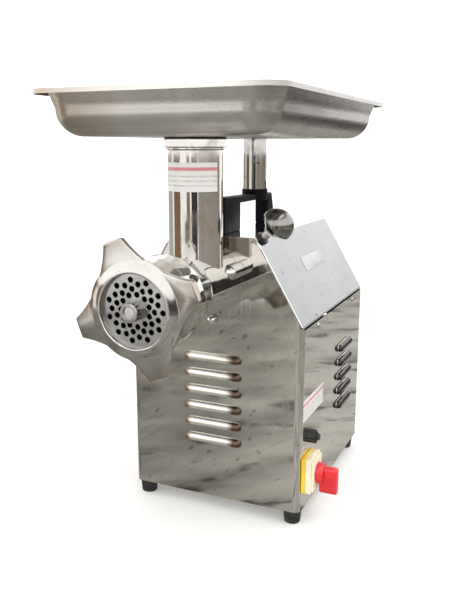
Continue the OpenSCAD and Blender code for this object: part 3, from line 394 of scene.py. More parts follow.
def brushed_steel(name, shade, roughness, stretch):
    """Satin brushed steel, its lines along the stretched axis."""
    f = Finish(name, Metallic=1.0)
    line = f.noise(420, stretch=stretch, detail=4, roughness=0.6)
    cloud = f.noise(11, detail=4, distortion=0.4)
    base = f.fade(cloud, 0.3, 0.7, tone(shade, 0.9), tone(shade, 1.06))
    base = f.fade(line, 0.3, 0.75, base, tone(shade, 0.78), 0.5)
    rough = roughness + f.remap(line, 0.3, 0.7, -0.05, 0.08) + (cloud - 0.5) * 0.12
    return f.dress(base, rough, f.bump(line, 0.00002, onto=f.bump(f.noise(14, detail=1), 0.0002)))


def pressed_tray(name, shade, half_w):
    """Satin sheet brushed round the bowl, browner at the left, painted darker at the right."""
    f = Finish(name, Metallic=1.0)
    line = f.noise(420, stretch=(0.02, 0.02, 1), detail=3)
    cloud = f.noise(9, detail=4, distortion=0.5)
    spot = f.axis("X")
    brown = (shade[0] * 0.62, shade[1] * 0.52, shade[2] * 0.42)
    base = f.fade(cloud, 0.35, 0.65, tone(shade, 0.93), tone(shade, 1.08))
    base = f.fade(spot + (cloud - 0.5) * 0.12, half_w * -0.1, half_w * -0.85, base, brown, 0.85)
    # Painted dark reflection towards the right end.
    base = f.fade(
        spot + (cloud - 0.5) * 0.05, half_w * 0.62, half_w * 0.92, base, tone(shade, 0.42), 0.8
    )
    base = f.fade(line, 0.4, 0.7, base, tone(shade, 0.7), 0.22)
    rough = 0.26 + (cloud - 0.5) * 0.16 + f.remap(line, 0.3, 0.7, 0, 0.06)
    slow = f.bump(f.noise(12, detail=1), 0.0003)
    return f.dress(base, rough, f.bump(line, 0.000006, onto=slow))


def polished_cast(name, shade, roughness, pits=0.00003, tips=None):
    """A hand-polished casting: soft ripples, dark pores, duller hollows and browner lobe tips."""
    f = Finish(name, Metallic=1.0)
    ripple = f.noise(45, detail=2)
    pore = f.remap(f.noise(520, detail=2), 0.66, 0.76)
    stain = f.remap(f.noise(24, detail=5, distortion=0.8), 0.56, 0.72)
    brown = (shade[0] * 0.62, shade[1] * 0.54, shade[2] * 0.46)
    base = f.fade(f.noise(12, detail=3), 0.3, 0.7, tone(shade, 0.94), tone(shade, 1.05))
    base = f.blend(stain * 0.5, base, brown)
    if tips is not None:
        height, start, end = tips
        across, rise = f.axis("X"), f.axis("Z") - height
        reach = (across * across + rise * rise) ** 0.5
        base = f.fade(reach, start, end, base, brown, 0.75)
    base = f.blend(pore * 0.6, base, tone(shade, 0.45))
    rough = roughness + stain * 0.12 + pore * 0.2 + f.remap(ripple, 0.4, 0.7, 0, 0.05)
    return f.dress(base, rough, f.bump(1 - pore, pits, onto=f.bump(ripple, 0.00012)))


def pierced(name, shade, front):
    """The ground plate: its face bright, and painted shade on everything behind the face."""
    f = Finish(name, Metallic=1.0)
    # Painted shade: the hole walls and the back are made nearly black.
    behind = f.axis("Y").over(front + 0.0002)
    film = f.remap(f.noise(36, detail=4), 0.4, 0.7)
    base = f.blend(behind, f.blend(film, shade, tone(shade, 0.72)), (0.012, 0.011, 0.01))
    rough = 0.24 + film * 0.12 + behind * 0.4
    return f.dress(base, rough, f.bump(f.noise(380, detail=3), 0.00001))


def machined(name, shade, roughness, scale=300, stretch=(1, 1, 1)):
    """Turned or ground metal with fine tool marks and a thin film of grease."""
    f = Finish(name, Metallic=1.0)
    mark = f.noise(scale, stretch=stretch, detail=3)
    film = f.noise(30, detail=4)
    base = f.fade(film, 0.4, 0.7, shade, tone(shade, 0.82))
    rough = roughness + f.remap(film, 0.4, 0.7, 0, 0.12) + (mark - 0.5) * 0.1
    return f.dress(base, rough, f.bump(mark, 0.00001))


def rough_cast(name, shade):
    """Sand-cast aluminium, left as cast."""
    f = Finish(name, Metallic=0.85)
    grain = f.noise(700, detail=4, roughness=0.7)
    base = f.blend(f.noise(40, detail=4), tone(shade, 0.8), tone(shade, 1.1))
    return f.dress(base, f.remap(grain, 0.3, 0.7, 0.42, 0.62), f.bump(grain, 0.00012))


def moulded(name, shade, roughness=0.4, grain=900, depth=0.00002, coat=0.0, edge=None, shine=0.5):
    """Moulded plastic with a fine grain and slightly uneven gloss."""
    f = Finish(name, Coat_Weight=coat, Coat_Roughness=0.15, Specular_IOR_Level=shine)
    cloud = f.noise(55, detail=4)
    base = f.fade(cloud, 0.35, 0.7, shade, edge or tone(shade, 0.86))
    rough = roughness + (cloud - 0.5) * 0.18
    return f.dress(base, rough, f.bump(f.noise(grain, detail=2), depth))


def rubbery(name, shade):
    """Matt rubber with a dusting of grey."""
    f = Finish(name)
    base = f.fade(f.noise(160, detail=5), 0.5, 0.75, shade, (0.07, 0.068, 0.064), 0.5)
    rough = f.remap(f.noise(300, detail=2), 0.3, 0.7, 0.62, 0.82)
    return f.dress(base, rough, f.bump(f.noise(1200, detail=2), 0.00005))


def layered(name, shade, direction, pitch, metallic=1.0, roughness=0.35):
    """Stacked sheets or wound wire: fine ridges at an even pitch."""
    f = Finish(name, Metallic=metallic)
    ridge = f.bands(1 / (pitch * 20), direction)
    rough = roughness + f.noise(90, detail=3) * 0.15
    return f.dress(f.blend(ridge, tone(shade, 0.5), shade), rough, f.bump(ridge, pitch * 0.25))


def printed_label(name, low, high, ink):
    """A blank sticker: pale film with one coloured rule and a few grey ones."""
    f = Finish(name, Coat_Weight=0.4, Coat_Roughness=0.12)
    height = f.remap(f.axis("Z"), low, high)

    def rule(start, end):
        return height.over(start) * height.under(end)

    grey = rule(0.5, 0.56) + rule(0.34, 0.4) + rule(0.18, 0.24)
    worn = f.remap(f.noise(90, detail=2), 0.4, 0.6, 0.25, 0.6)
    paper = f.blend(grey * worn, (0.62, 0.6, 0.58), (0.3, 0.27, 0.27))
    return f.dress(
        f.blend(rule(0.72, 0.84) * 0.75, paper, ink),
        f.remap(f.noise(60, detail=3), 0.3, 0.7, 0.28, 0.4),
    )


def make_finishes(casing, head, tray, controls):
    """Every finish, by the record's slot: its maker, its colour and what else the maker takes."""
    steel, cast = tuple(casing.steel), tuple(head.casting)
    yellow, red = tuple(controls.yellow), tuple(controls.red)
    # Where the casing's and the cover's painted light and shade go.
    louvred = (FRONT_Y, HALF_W, casing.front_louvre / 2)
    edges = (COVER_LOW.y, COVER_LOW.z, COVER_HIGH.z)
    recipes = {
        "casing_steel": (polished_sheet, steel,
                         {"roughness": 0.05, "wave": 0.0003, "louvred": louvred}),
        "cover_steel": (polished_sheet, (0.26, 0.266, 0.275),
                        {"roughness": 0.045, "streaks": (1, 0.04, 1), "edges": edges}),
        "sheet_steel": (brushed_steel, tone(steel, 0.9),
                        {"roughness": 0.28, "stretch": (0.04, 1, 1)}),
        "rubber": (rubbery, (0.012, 0.012, 0.012), {}),
        "zinc_fasteners": (machined, (0.5, 0.5, 0.47), {"roughness": 0.32}),
        "bright_fasteners": (machined, (0.62, 0.61, 0.59), {"roughness": 0.16}),
        "cast_aluminium": (rough_cast, (0.44, 0.45, 0.46), {}),
        "gasket_paper": (moulded, (0.1, 0.065, 0.03),
                         {"roughness": 0.8, "grain": 500, "depth": 0.00008}),
        "bearing_steel": (machined, (0.58, 0.58, 0.6), {"roughness": 0.14}),
        "ground_steel": (machined, (0.5, 0.5, 0.52),
                         {"roughness": 0.2, "scale": 500, "stretch": (1, 0.05, 1)}),
        "gear_steel": (machined, (0.3, 0.3, 0.32), {"roughness": 0.33}),
        "motor_paint": (moulded, (0.03, 0.045, 0.06),
                        {"roughness": 0.42, "grain": 300, "depth": 0.00009, "coat": 0.3}),
        "lamination_steel": (layered, (0.34, 0.34, 0.36), {"direction": "Y", "pitch": 0.0012}),
        "winding_copper": (layered, (0.52, 0.19, 0.07), {
            "direction": "DIAGONAL", "pitch": 0.0011, "metallic": 0.9, "roughness": 0.3
        }),
        "black_plastic": (moulded, (0.014, 0.014, 0.015), {"roughness": 0.42}),
        "handle_plastic": (moulded, (0.0015, 0.002, 0.004),
                           {"roughness": 0.45, "edge": (0.003, 0.004, 0.007), "shine": 0.07}),
        "capacitor_can": (machined, (0.6, 0.6, 0.6),
                          {"roughness": 0.3, "scale": 400, "stretch": (1, 1, 0.05)}),
        "terminal_plastic": (moulded, (0.75, 0.74, 0.7), {"roughness": 0.45}),
        "switch_yellow": (moulded, yellow,
                          {"roughness": 0.38, "coat": 0.2, "edge": tone(yellow, 0.78)}),
        "switch_cream": (moulded, (0.78, 0.7, 0.52), {"coat": 0.2, "edge": (0.74, 0.6, 0.45)}),
        "switch_red": (moulded, red, {"roughness": 0.3, "coat": 0.5, "edge": tone(red, 0.7)}),
        "spring_steel": (machined, (0.5, 0.5, 0.5), {"roughness": 0.2}),
        "polished_knob": (polished_cast, tone(cast, 0.42), {"roughness": 0.1, "pits": 0.00001}),
        "clamp_steel": (machined, (0.55, 0.52, 0.48), {"roughness": 0.18}),
        "polished_casting": (polished_cast, cast, {"roughness": 0.05, "pits": 0.00001}),
        "ring_casting": (polished_cast, tone(cast, 0.88),
                         {"roughness": 0.13, "tips": (AXIS_Z, 0.056, 0.072)}),
        "bronze": (machined, (0.55, 0.32, 0.12), {"roughness": 0.28}),
        "worm_steel": (polished_cast, tone(cast, 0.95), {"roughness": 0.2}),
        "knife_steel": (machined, (0.5, 0.5, 0.51), {"roughness": 0.18}),
        "plate_steel": (pierced, (0.4, 0.395, 0.39), {"front": FRONT_Y - PLATE_FRONT * MM}),
        "brushed_tray": (pressed_tray, tuple(tray.steel), {"half_w": TRAY_HIGH.x}),
        "post_steel": (polished_sheet, tone(cast, 0.72), {"roughness": 0.05, "wave": 0.0001}),
    }
    return {slot: make(slot, shade, **more) for slot, (make, shade, more) in recipes.items()}


# ---- mesh helpers ----


MERGE = 0.000002  # metres between vertices that are taken as one


def line(bm, points, closed=False):
    """Draws a chain of edges through a few points."""
    verts = [bm.verts.new(point) for point in points]
    edges = [bm.edges.new(pair) for pair in zip(verts, verts[1:])]
    if closed:
        edges.append(bm.edges.new((verts[-1], verts[0])))
    return verts, edges


def tidy(bm):
    """Merges doubles and turns every face outwards."""
    bmesh.ops.remove_doubles(bm, verts=bm.verts[:], dist=MERGE)
    bmesh.ops.dissolve_degenerate(bm, edges=bm.edges[:], dist=MERGE / 4)
    bmesh.ops.recalc_face_normals(bm, faces=bm.faces[:])
    return bm


def moved_by(made):
    """The new vertices of an operator's result."""
    return [item for item in made["geom"] if isinstance(item, bmesh.types.BMVert)]


def pull(bm, edges, offset):
    """Draws walls out of edges by an offset in metres, and gives the edges at their far side."""
    made = bmesh.ops.extrude_edge_only(bm, edges=edges)
    bmesh.ops.translate(bm, vec=offset, verts=moved_by(made))
    return [item for item in made["geom"] if isinstance(item, bmesh.types.BMEdge)]


def bevel(bm, geom, offset, segments, affect="EDGES"):
    bmesh.ops.bevel(
        bm, geom=geom, offset=offset, offset_type="OFFSET", segments=segments, profile=0.5,
        affect=affect, clamp_overlap=True, material=-1,
    )
    return bm


def face_outwards(bm, face, direction):
    """Turns a sheet over if this face of it doesn't look in the direction."""
    if face.normal.dot(direction) < 0:
        bmesh.ops.reverse_faces(bm, faces=bm.faces[:])


def arc(radius, angles, middle):
    """Points of a profile that lie on a circle, at these angles in degrees."""
    return [(middle[0] + radius * math.cos(math.radians(a)),
             middle[1] + radius * math.sin(math.radians(a))) for a in angles]


def lathe(profile, steps=96, closed=False, place=None, into=None):
    """Spins a profile of (radius, height) pairs in mm about local Z."""
    bm = bmesh.new()
    verts, edges = line(bm, [(r * MM, 0, z * MM) for r, z in profile], closed)
    bmesh.ops.spin(
        bm, geom=verts + edges, cent=(0, 0, 0), axis=UP, angle=math.tau, steps=steps, use_merge=True
    )
    tidy(bm)
    return absorb(into, bm, place) if into is not None else put(bm, place)


def put(bm, place):
    if place is not None:
        bmesh.ops.transform(bm, matrix=place, verts=bm.verts[:])
    return bm


def absorb(bm, other, place=None):
    """Adds another mesh, moved to its place, and frees it."""
    put(other, place)
    carrier = bpy.data.meshes.new("carrier")
    other.to_mesh(carrier)
    other.free()
    bm.from_mesh(carrier)
    bpy.data.meshes.remove(carrier)
    return bm


def soften(bm, width, segments=3, angle=35):
    """Rounds the edges that are sharper than the angle."""
    limit = math.radians(angle)
    sharp = [e for e in bm.edges if len(e.link_faces) == 2 and e.calc_face_angle(0) > limit]
    return bevel(bm, sharp, width * MM, segments)


def rectangle(bm, width, height, radius, segments=6):
    """A rounded rectangle as one face in the XY plane, in mm."""
    verts = bmesh.ops.create_grid(bm, x_segments=1, y_segments=1, size=1)["verts"]
    for vert in verts:
        vert.co.x = math.copysign(width * MM / 2, vert.co.x)
        vert.co.y = math.copysign(height * MM / 2, vert.co.y)
    return bevel(bm, verts, radius * MM, segments, "VERTICES")


def extrude(bm, faces, offset):
    """Pulls faces out by an offset in mm, and leaves a closed solid."""
    made = bmesh.ops.extrude_face_region(bm, geom=faces)
    bmesh.ops.translate(bm, vec=Vector(offset) * MM, verts=moved_by(made))
    fill_slits(bm)


def fill_slits(bm):
    """Closes whatever is still open."""
    rim = [e for e in bm.edges if e.is_boundary]
    if rim:
        bmesh.ops.holes_fill(bm, edges=rim, sides=0)


def block(width, height, radius, depth, soft=0.8, place=None):
    """A rounded block that rises from the XY plane."""
    bm = rectangle(bmesh.new(), width, height, radius)
    extrude(bm, bm.faces[:], (0, 0, depth))
    tidy(bm)
    soften(bm, soft, 3)
    return put(bm, place)


def plate_of(points, offset, soft, place=None, segments=3):
    """A flat outline in mm, thickened by an offset and rounded along its edges."""
    bm = bmesh.new()
    bm.faces.new([bm.verts.new(Vector(point) * MM) for point in points])
    extrude(bm, bm.faces[:], offset)
    tidy(bm)
    soften(bm, soft, segments)
    return put(bm, place)


def cut(bm, point, normal, drop=False):
    """Cuts every face along a plane, and drops what lies on the normal's side if asked."""
    bmesh.ops.bisect_plane(
        bm, geom=bm.verts[:] + bm.edges[:] + bm.faces[:], plane_co=point, plane_no=normal,
        clear_outer=drop, dist=0.0000001,
    )
    return bm


def stand(name, bm):
    """Turns a mesh being built into an object of the scene."""
    mesh = bpy.data.meshes.new(name)
    bm.to_mesh(mesh)
    bm.free()
    made = bpy.data.objects.new(name, mesh)
    bpy.context.scene.collection.objects.link(made)
    return made


def combine(first, *steps):
    """Unites or cuts closed solids exactly; each step is an operation and a solid."""
    base = stand("solid", first)
    others = []
    for operation, solid in steps:
        other = stand("solid", solid)
        others.append(other)
        modifier = base.modifiers.new(operation, "BOOLEAN")
        modifier.operation = operation
        modifier.object = other
        modifier.solver = "EXACT"
    bpy.context.view_layer.update()
    shape = base.evaluated_get(bpy.context.evaluated_depsgraph_get())
    result = bmesh.new()
    result.from_mesh(shape.to_mesh())
    shape.to_mesh_clear()
    for obj in (base, *others):
        mesh = obj.data
        bpy.data.objects.remove(obj)
        bpy.data.meshes.remove(mesh)
    bmesh.ops.remove_doubles(result, verts=result.verts[:], dist=MERGE)
    fill_slits(result)
    return tidy(result)


FINISHES = {}


def publish(bm, name, body, slot, *replaced, smooth=38, finish=None):
    """Turns a mesh into a finished piece that rides on its body."""
    if not bm.faces:
        raise RuntimeError(f"{name} came out empty")
    bm.edges.index_update()
    borders = [e.index for e in bm.edges if e.is_boundary]
    piece = stand(name, bm)
    mesh = piece.data
    mesh.shade_smooth()
    mesh.set_sharp_from_angle(angle=math.radians(smooth))
    for index in borders:
        mesh.edges[index].use_edge_sharp = True
    mesh.materials.append((finish or FINISHES[slot]).material)
    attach(piece, body)
    if replaced:
        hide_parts(*replaced)
    return piece


def walls(piece, thickness, offset=-1):
    """Gives a sheet its thickness, inwards unless told otherwise, and keeps its flats flat."""
    modifier = piece.modifiers.new("Sheet", "SOLIDIFY")
    modifier.thickness = thickness
    modifier.offset = offset
    modifier.use_even_offset = True
    flats = piece.modifiers.new("Flats", "WEIGHTED_NORMAL")
    flats.mode = "FACE_AREA"
    flats.weight = 100
    flats.keep_sharp = True


# ---- casing ----


def louvre(length_mm, radius_mm):
    """One pressed-out hood: half a capsule along X, its mouth open downwards."""
    bm = bmesh.new()
    bmesh.ops.create_uvsphere(bm, u_segments=32, v_segments=13, radius=radius_mm * MM)
    put(bm, Matrix.Rotation(QUARTER_TURN, 4, "Y"))
    for vert in bm.verts:
        vert.co.x += math.copysign((length_mm / 2 - radius_mm) * MM, vert.co.x)
    cut(bm, (0, 0, 0), (0, 1, 0), drop=True)
    cut(bm, (0, 0, -radius_mm * MM / 2), (0, 0, -1), drop=True)
    return bm


def casing_sheet(sizes):
    """The front and both sides, bent from one sheet, with its louvre slots opened."""
    bm = bmesh.new()
    foot = line(bm, [
        (-HALF_W, REAR_Y, LOW_Z), (-HALF_W, FRONT_Y, LOW_Z), (HALF_W, FRONT_Y, LOW_Z),
        (HALF_W, REAR_Y, LOW_Z),
    ])[1]
    pull(bm, foot, (0, 0, TOP_Z - LOW_Z))
    bevel(bm, [e for e in bm.edges if len(e.link_faces) == 2], sizes.bend, 10)
    tops = [sizes.louvre_top - i * sizes.louvre_pitch for i in range(sizes.louvres)]
    side_tops = [
        sizes.side_louvre_top - i * sizes.side_louvre_pitch for i in range(sizes.side_louvres)
    ]
    radius = sizes.louvre_radius
    low, high = -radius / 2, radius * 0.7
    front_half = sizes.front_louvre / 2 - radius
    side_half = sizes.side_louvre / 2 - radius
    side_y = FRONT_Y + sizes.side_louvre_back
    for top in tops + side_tops:
        cut(bm, (0, 0, top + low), UP)
        cut(bm, (0, 0, top + high), UP)
    for side in (-1, 1):
        cut(bm, (side * front_half, 0, 0), (1, 0, 0))
        cut(bm, (0, side_y + side * side_half, 0), (0, 1, 0))

    def in_slot(face):
        spot = face.calc_center_median()
        ahead = abs(spot.x) < front_half and spot.y < FRONT_Y + MM
        beside = abs(spot.x) > HALF_W - MM and abs(spot.y - side_y) < side_half
        return (ahead or beside) and any(
            top + low < spot.z < top + high for top in (tops if ahead else side_tops)
        )

    bmesh.ops.delete(bm, geom=[f for f in bm.faces if in_slot(f)], context="FACES_ONLY")
    slant_h = TOP_Z - SHOULDER_Z
    slant_l = math.hypot(sizes.slant, slant_h)
    for side in (-1, 1):
        normal = Vector((side * slant_h, 0, sizes.slant)) / slant_l
        cut(bm, Vector((side * HALF_W, 0, SHOULDER_Z)) - normal * sizes.cover, normal, drop=True)
    cut(bm, (0, 0, TOP_Z - sizes.cover), UP, drop=True)
    bmesh.ops.recalc_face_normals(bm, faces=bm.faces[:])
    front = next(f for f in bm.faces if f.calc_center_median().y < FRONT_Y + MM)
    face_outwards(bm, front, Vector((0, -1, 0)))
    for top in tops:
        absorb(bm, louvre(sizes.front_louvre / MM, radius / MM), upright(0, FRONT_Y, top))
    for top in side_tops:
        for side in (-1, 1):
            turn = Matrix.Rotation(side * QUARTER_TURN, 4, "Z")
            place = upright(side * HALF_W, side_y, top) @ turn
            absorb(bm, louvre(sizes.side_louvre / MM, radius / MM), place)
    return bm


def cover_sheet(sizes):
    """The flat top and both slants, folded from one sheet."""
    flat = HALF_W - sizes.slant
    bm = bmesh.new()
    front = line(bm, [
        (-HALF_W, COVER_LOW.y, SHOULDER_Z), (-flat, COVER_LOW.y, TOP_Z), (flat, COVER_LOW.y, TOP_Z),
        (HALF_W, COVER_LOW.y, SHOULDER_Z),
    ])[1]
    pull(bm, front, (0, REAR_Y - COVER_LOW.y, 0))
    bevel(bm, [e for e in bm.edges if len(e.link_faces) == 2], sizes.ridge, 6)
    bmesh.ops.recalc_face_normals(bm, faces=bm.faces[:])
    face_outwards(bm, max(bm.faces, key=lambda f: f.calc_center_median().z), UP)
    return bm


class GRINDER_OT_casing(bpy.types.Operator):
    """Bend the louvred casing and fold its cover"""

    bl_idname = "grinder.casing"
    bl_label = "Casing and cover"

    def execute(self, context):
        sizes = context.scene.grinder_casing
        shell = publish(casing_sheet(sizes), "casing_shell", "root", "casing_steel", "casing_wrap")
        walls(shell, sizes.sheet)
        cover = publish(cover_sheet(sizes), "folded_cover", "root", "cover_steel", "top_cover")
        walls(cover, sizes.cover)
        return {"FINISHED"}


# ---- grinding head ----


def head_solid(sizes):
    """The barrel and the feed neck as one casting, bored for the worm, the plate and the meat."""
    tail, collar, thread = sizes.tail / MM, sizes.collar / MM, sizes.thread / MM
    neck, throat, flange = sizes.neck / MM, sizes.throat / MM, sizes.flange / MM
    rise = (NECK_TOP - AXIS_Z) / MM
    barrel = lathe([
        (0, -52), (tail - 1, -52), (tail, -51), (tail, 0), (tail + 0.6, 0.5), (tail + 0.6, 80),
        (tail + 1.2, 83), (collar - 2.2, 114), (collar - 0.5, 117.5), (collar, 120), (collar, 145),
        (collar - 1, 146), (thread, 146), (thread, 175), (thread - 1, 176), (0, 176),
    ], 128, place=on_axis(0))
    stack = lathe([
        (0, 4), (neck, 4), (neck, rise - 12.3), (neck + 0.6, rise - 11.7),
        (neck + 1.6, rise - 11.4), (neck + 2, rise - 10.2), (neck + 1.6, rise - 9),
        (flange - 0.8, rise - 9),
        (flange, rise - 8.2), (flange, rise - 0.8), (flange - 0.8, rise), (0, rise),
    ], 128, place=upright(0, NECK_Y, AXIS_Z))
    lug_r, lug_end = 9.5, 25
    lug = lathe(
        [(0, 0.5), (lug_r, 0.5), (lug_r, lug_end), *arc(lug_r, range(10, 90, 10), (0, lug_end)),
         (0, lug_end + lug_r)],
        40, place=on_axis(0) @ Matrix.Rotation(math.radians(25), 4, "Z") @ upright(0.035, 0, 0),
    )
    bore, chamber = sizes.bore / MM, sizes.chamber / MM
    hollow = lathe([
        (0, -60), (20, -60), (20, -28), (17, -28), (17, -25), (bore, -25), (bore, 158),
        (chamber, 158), (chamber, 180), (0, 180),
    ], 96, place=on_axis(0))
    well = lathe([(0, 0), (throat, 0), (throat, rise + 5), (0, rise + 5)], 96,
                 place=upright(0, NECK_Y, AXIS_Z))
    return combine(
        barrel, ("UNION", stack), ("UNION", lug), ("DIFFERENCE", hollow), ("DIFFERENCE", well)
    )


def ring_solid(sizes):
    """The ring nut: a threaded skirt, four lobes with hollow flanks, and a domed lip."""
    reach, half = sizes.lobe_reach / MM, sizes.lobe_width / MM
    skirt = RING_SKIRT
    corner = math.hypot(reach, half)
    spread = math.radians(45) - math.atan(half / reach)
    # A flank is an arc between two lobes' corners that just touches the skirt between them.
    centre = (corner ** 2 - skirt ** 2) / (2 * (corner * math.cos(spread) - skirt))
    turn = math.atan2(corner * math.sin(spread), centre - corner * math.cos(spread))
    bm = bmesh.new()
    for quarter in range(4):
        middle = math.radians(20 + 45 + 90 * quarter)
        start = Matrix.Rotation(middle - spread, 3, "Z") @ Vector((corner * MM, 0, 0))
        hub = Matrix.Rotation(middle, 3, "Z") @ Vector((centre * MM, 0, 0))
        bmesh.ops.spin(
            bm, geom=[bm.verts.new(start)], cent=hub, axis=UP, angle=-2 * turn, steps=40,
            use_merge=False,
        )
    ends = [v for v in bm.verts if len(v.link_edges) == 1]
    for end in ends:
        near = min((v for v in ends if v is not end), key=lambda v: (v.co - end.co).length)
        if bm.edges.get((end, near)) is None:
            bm.edges.new((end, near))
    bmesh.ops.contextual_create(bm, geom=bm.edges[:])
    extrude(bm, bm.faces[:], (0, 0, LOBE_THICK))
    tidy(bm)
    soften(bm, 2.3, 4, angle=30)
    put(bm, on_axis(LOBE_BACK))
    middle = lathe([(0, -3), (46.5, -3), (46.5, 12), (0, 12)], 96, place=on_axis(LOBE_BACK))
    seat = PLATE_FRONT + 0.05
    body = lathe([
        (RING_THREAD, RING_BACK), (skirt - 1, RING_BACK), (skirt, 149), (skirt, 168),
        (skirt + 0.5, 170.5), (skirt + 2, 172.5), (skirt + 2, 179.4), (skirt - 2, 180.8),
        (44, 183.2), (40.2, 184.6), (38.8, 185), (38, 184.7), (RING_MOUTH, 183.9),
        (RING_MOUTH, seat), (RING_THREAD, seat),
    ], 128, closed=True, place=on_axis(0))
    return combine(bm, ("DIFFERENCE", middle), ("UNION", body))


def circle(bm, radius, steps, place):
    """A ring of edges, its radius in mm."""
    verts = bmesh.ops.create_circle(bm, cap_ends=False, segments=steps, radius=radius * MM)["verts"]
    bmesh.ops.transform(bm, matrix=place, verts=verts)
    return list({e for v in verts for e in v.link_edges})


def plate_solid(sizes):
    """The grinding plate with its four rings of chamfered holes and its hub."""
    hole, chamfer = sizes.hole / MM / 2, 0.3
    outer, hub, socket = 41, 9.75, 5.95
    thick = PLATE_FRONT - PLATE_BACK
    count = 11
    spots = []
    for i, ring in enumerate((16.3, 21.7, 26.7, 30.9)):
        for k in range(count):
            angle = math.radians(33 + (k + (0.5 if i % 2 == 0 else 0)) * 360 / count)
            spots.append((ring * MM * math.cos(angle), ring * MM * math.sin(angle)))
    bm = bmesh.new()
    for height, inner in ((0, socket + 0.05), (thick, hub)):
        made = circle(bm, outer - 0.4, 96, upright(0, 0, height * MM))
        made += circle(bm, inner, 96, upright(0, 0, height * MM))
        for x, y in spots:
            made += circle(bm, hole + chamfer, 20, upright(x, y, height * MM))
        bmesh.ops.triangle_fill(bm, edges=made, use_beauty=True, use_dissolve=False, normal=UP)
    wall = [(hole + chamfer, 0), (hole, chamfer), (hole, thick - chamfer), (hole + chamfer, thick)]
    for x, y in spots:
        lathe(wall, 20, place=upright(x, y, 0), into=bm)
    lathe([(outer - 0.4, 0), (outer, 0.4), (outer, thick - 0.4), (outer - 0.4, thick)], 96, into=bm)
    lathe([
        (hub, thick), (hub, 20.2), (hub - 0.55, 20.9), (socket + 0.65, 21), (socket, 20.4),
        (socket, 0.4), (socket + 0.05, 0),
    ], 96, into=bm)
    return put(tidy(bm), on_axis(PLATE_BACK))


class GRINDER_OT_head(bpy.types.Operator):
    """Cast the grinding head, its ring nut and its plate"""

    bl_idname = "grinder.head"
    bl_label = "Grinding head"

    def execute(self, context):
        sizes = context.scene.grinder_head
        publish(head_solid(sizes), "cast_head", "head", "polished_casting", "head_casting")
        publish(ring_solid(sizes), "lobed_ring", "ring", "ring_casting", "ring_nut")
        publish(plate_solid(sizes), "pierced_plate", "plate", "plate_steel", "grinding_plate",
                smooth=30)
        return {"FINISHED"}


# ---- feed tray ----


def tray_sheet(sizes):
    """The pressed tray as its inner surface: rim, walls, rounded bottom and the spout's mouth."""
    width = (TRAY_HIGH.x - TRAY_LOW.x) / MM
    long = (TRAY_HIGH.y - TRAY_LOW.y) / MM
    middle_y = (TRAY_HIGH.y + TRAY_LOW.y) / 2
    rim, bend, draft = sizes.rim / MM, sizes.bend / MM, sizes.draft / MM
    bottom = GASKET_HIGH.z + sizes.sheet
    depth = (TRAY_HIGH.z - bottom) / MM
    lip = 3.0  # radius of the turn from the rim into the bowl

    outer = rectangle(bmesh.new(), width, long, sizes.corner / MM, 10)
    bmesh.ops.delete(outer, geom=outer.faces[:], context="FACES_ONLY")
    bm = rectangle(bmesh.new(), width - 2 * rim + 2 * lip, long - 2 * rim + 2 * lip,
                   sizes.bowl_corner / MM + lip, 10)
    wall = depth - bend
    steps = arc(lip, (-90, -62, -34, -10), (0, lip))
    steps += [(lip + draft * k / 3, lip + (wall - lip) * k / 3) for k in (1, 2, 3)]
    steps += arc(bend, (168, 156, 144, 132, 120, 108, 98, 90), (lip + draft + bend, wall))
    for (in_0, down_0), (in_1, down_1) in zip(steps, steps[1:]):
        floor = max(bm.faces, key=lambda f: f.calc_area())
        inset = bmesh.ops.inset_region(
            bm, faces=[floor], thickness=(in_1 - in_0) * MM, depth=0, use_even_offset=True,
            use_boundary=True,
        )
        centre = max(bm.faces, key=lambda f: f.calc_area() if f not in inset["faces"] else 0)
        bmesh.ops.translate(bm, vec=(0, 0, (down_0 - down_1) * MM), verts=centre.verts[:])
    floor = max((f for f in bm.faces if abs(f.normal.z) > 0.99), key=lambda f: f.calc_area())
    ring = list(floor.edges)
    level = floor.verts[0].co.z
    bmesh.ops.delete(bm, geom=[floor], context="FACES_ONLY")
    mouth = upright(0, NECK_Y - middle_y, level)
    hole = circle(bm, 27.5, 64, mouth)
    bmesh.ops.triangle_fill(bm, edges=ring + hole, use_beauty=True, use_dissolve=False, normal=UP)
    spout_low = (GASKET_HIGH.z - bottom) / MM - 20
    lathe([(27.5, 0), (26.0, -0.35), (24.9, -1.3), (24.5, -2.8), (24.5, spout_low)], 64,
          place=mouth, into=bm)

    def at_top(edge):
        return min(v.co.z for v in edge.verts) > -0.1 * MM

    absorb(bm, outer)
    loose = [e for e in bm.edges if len(e.link_faces) < 2 and at_top(e)]
    bmesh.ops.triangle_fill(bm, edges=loose, use_beauty=True, use_dissolve=False, normal=UP)
    skirt = [e for e in bm.edges if e.is_boundary and at_top(e)]
    for down in (0.3, 0.6, 4.1):
        skirt = pull(bm, skirt, (0, 0, -down * MM))
    bmesh.ops.remove_doubles(bm, verts=bm.verts[:], dist=0.01 * MM)
    bmesh.ops.recalc_face_normals(bm, faces=bm.faces[:])
    base = max((f for f in bm.faces if f.calc_center_median().z < level + MM),
               key=lambda f: f.calc_area())
    face_outwards(bm, base, UP)
    return put(bm, upright(0, middle_y, TRAY_HIGH.z))


class GRINDER_OT_tray(bpy.types.Operator):
    """Press the feed tray"""

    bl_idname = "grinder.tray"
    bl_label = "Feed tray"

    def execute(self, context):
        sizes = context.scene.grinder_tray
        tray = publish(tray_sheet(sizes), "pressed_tray", "tray", "brushed_tray", "feed_tray",
                       smooth=50)
        walls(tray, sizes.sheet)
        return {"FINISHED"}


# ---- handle and post ----


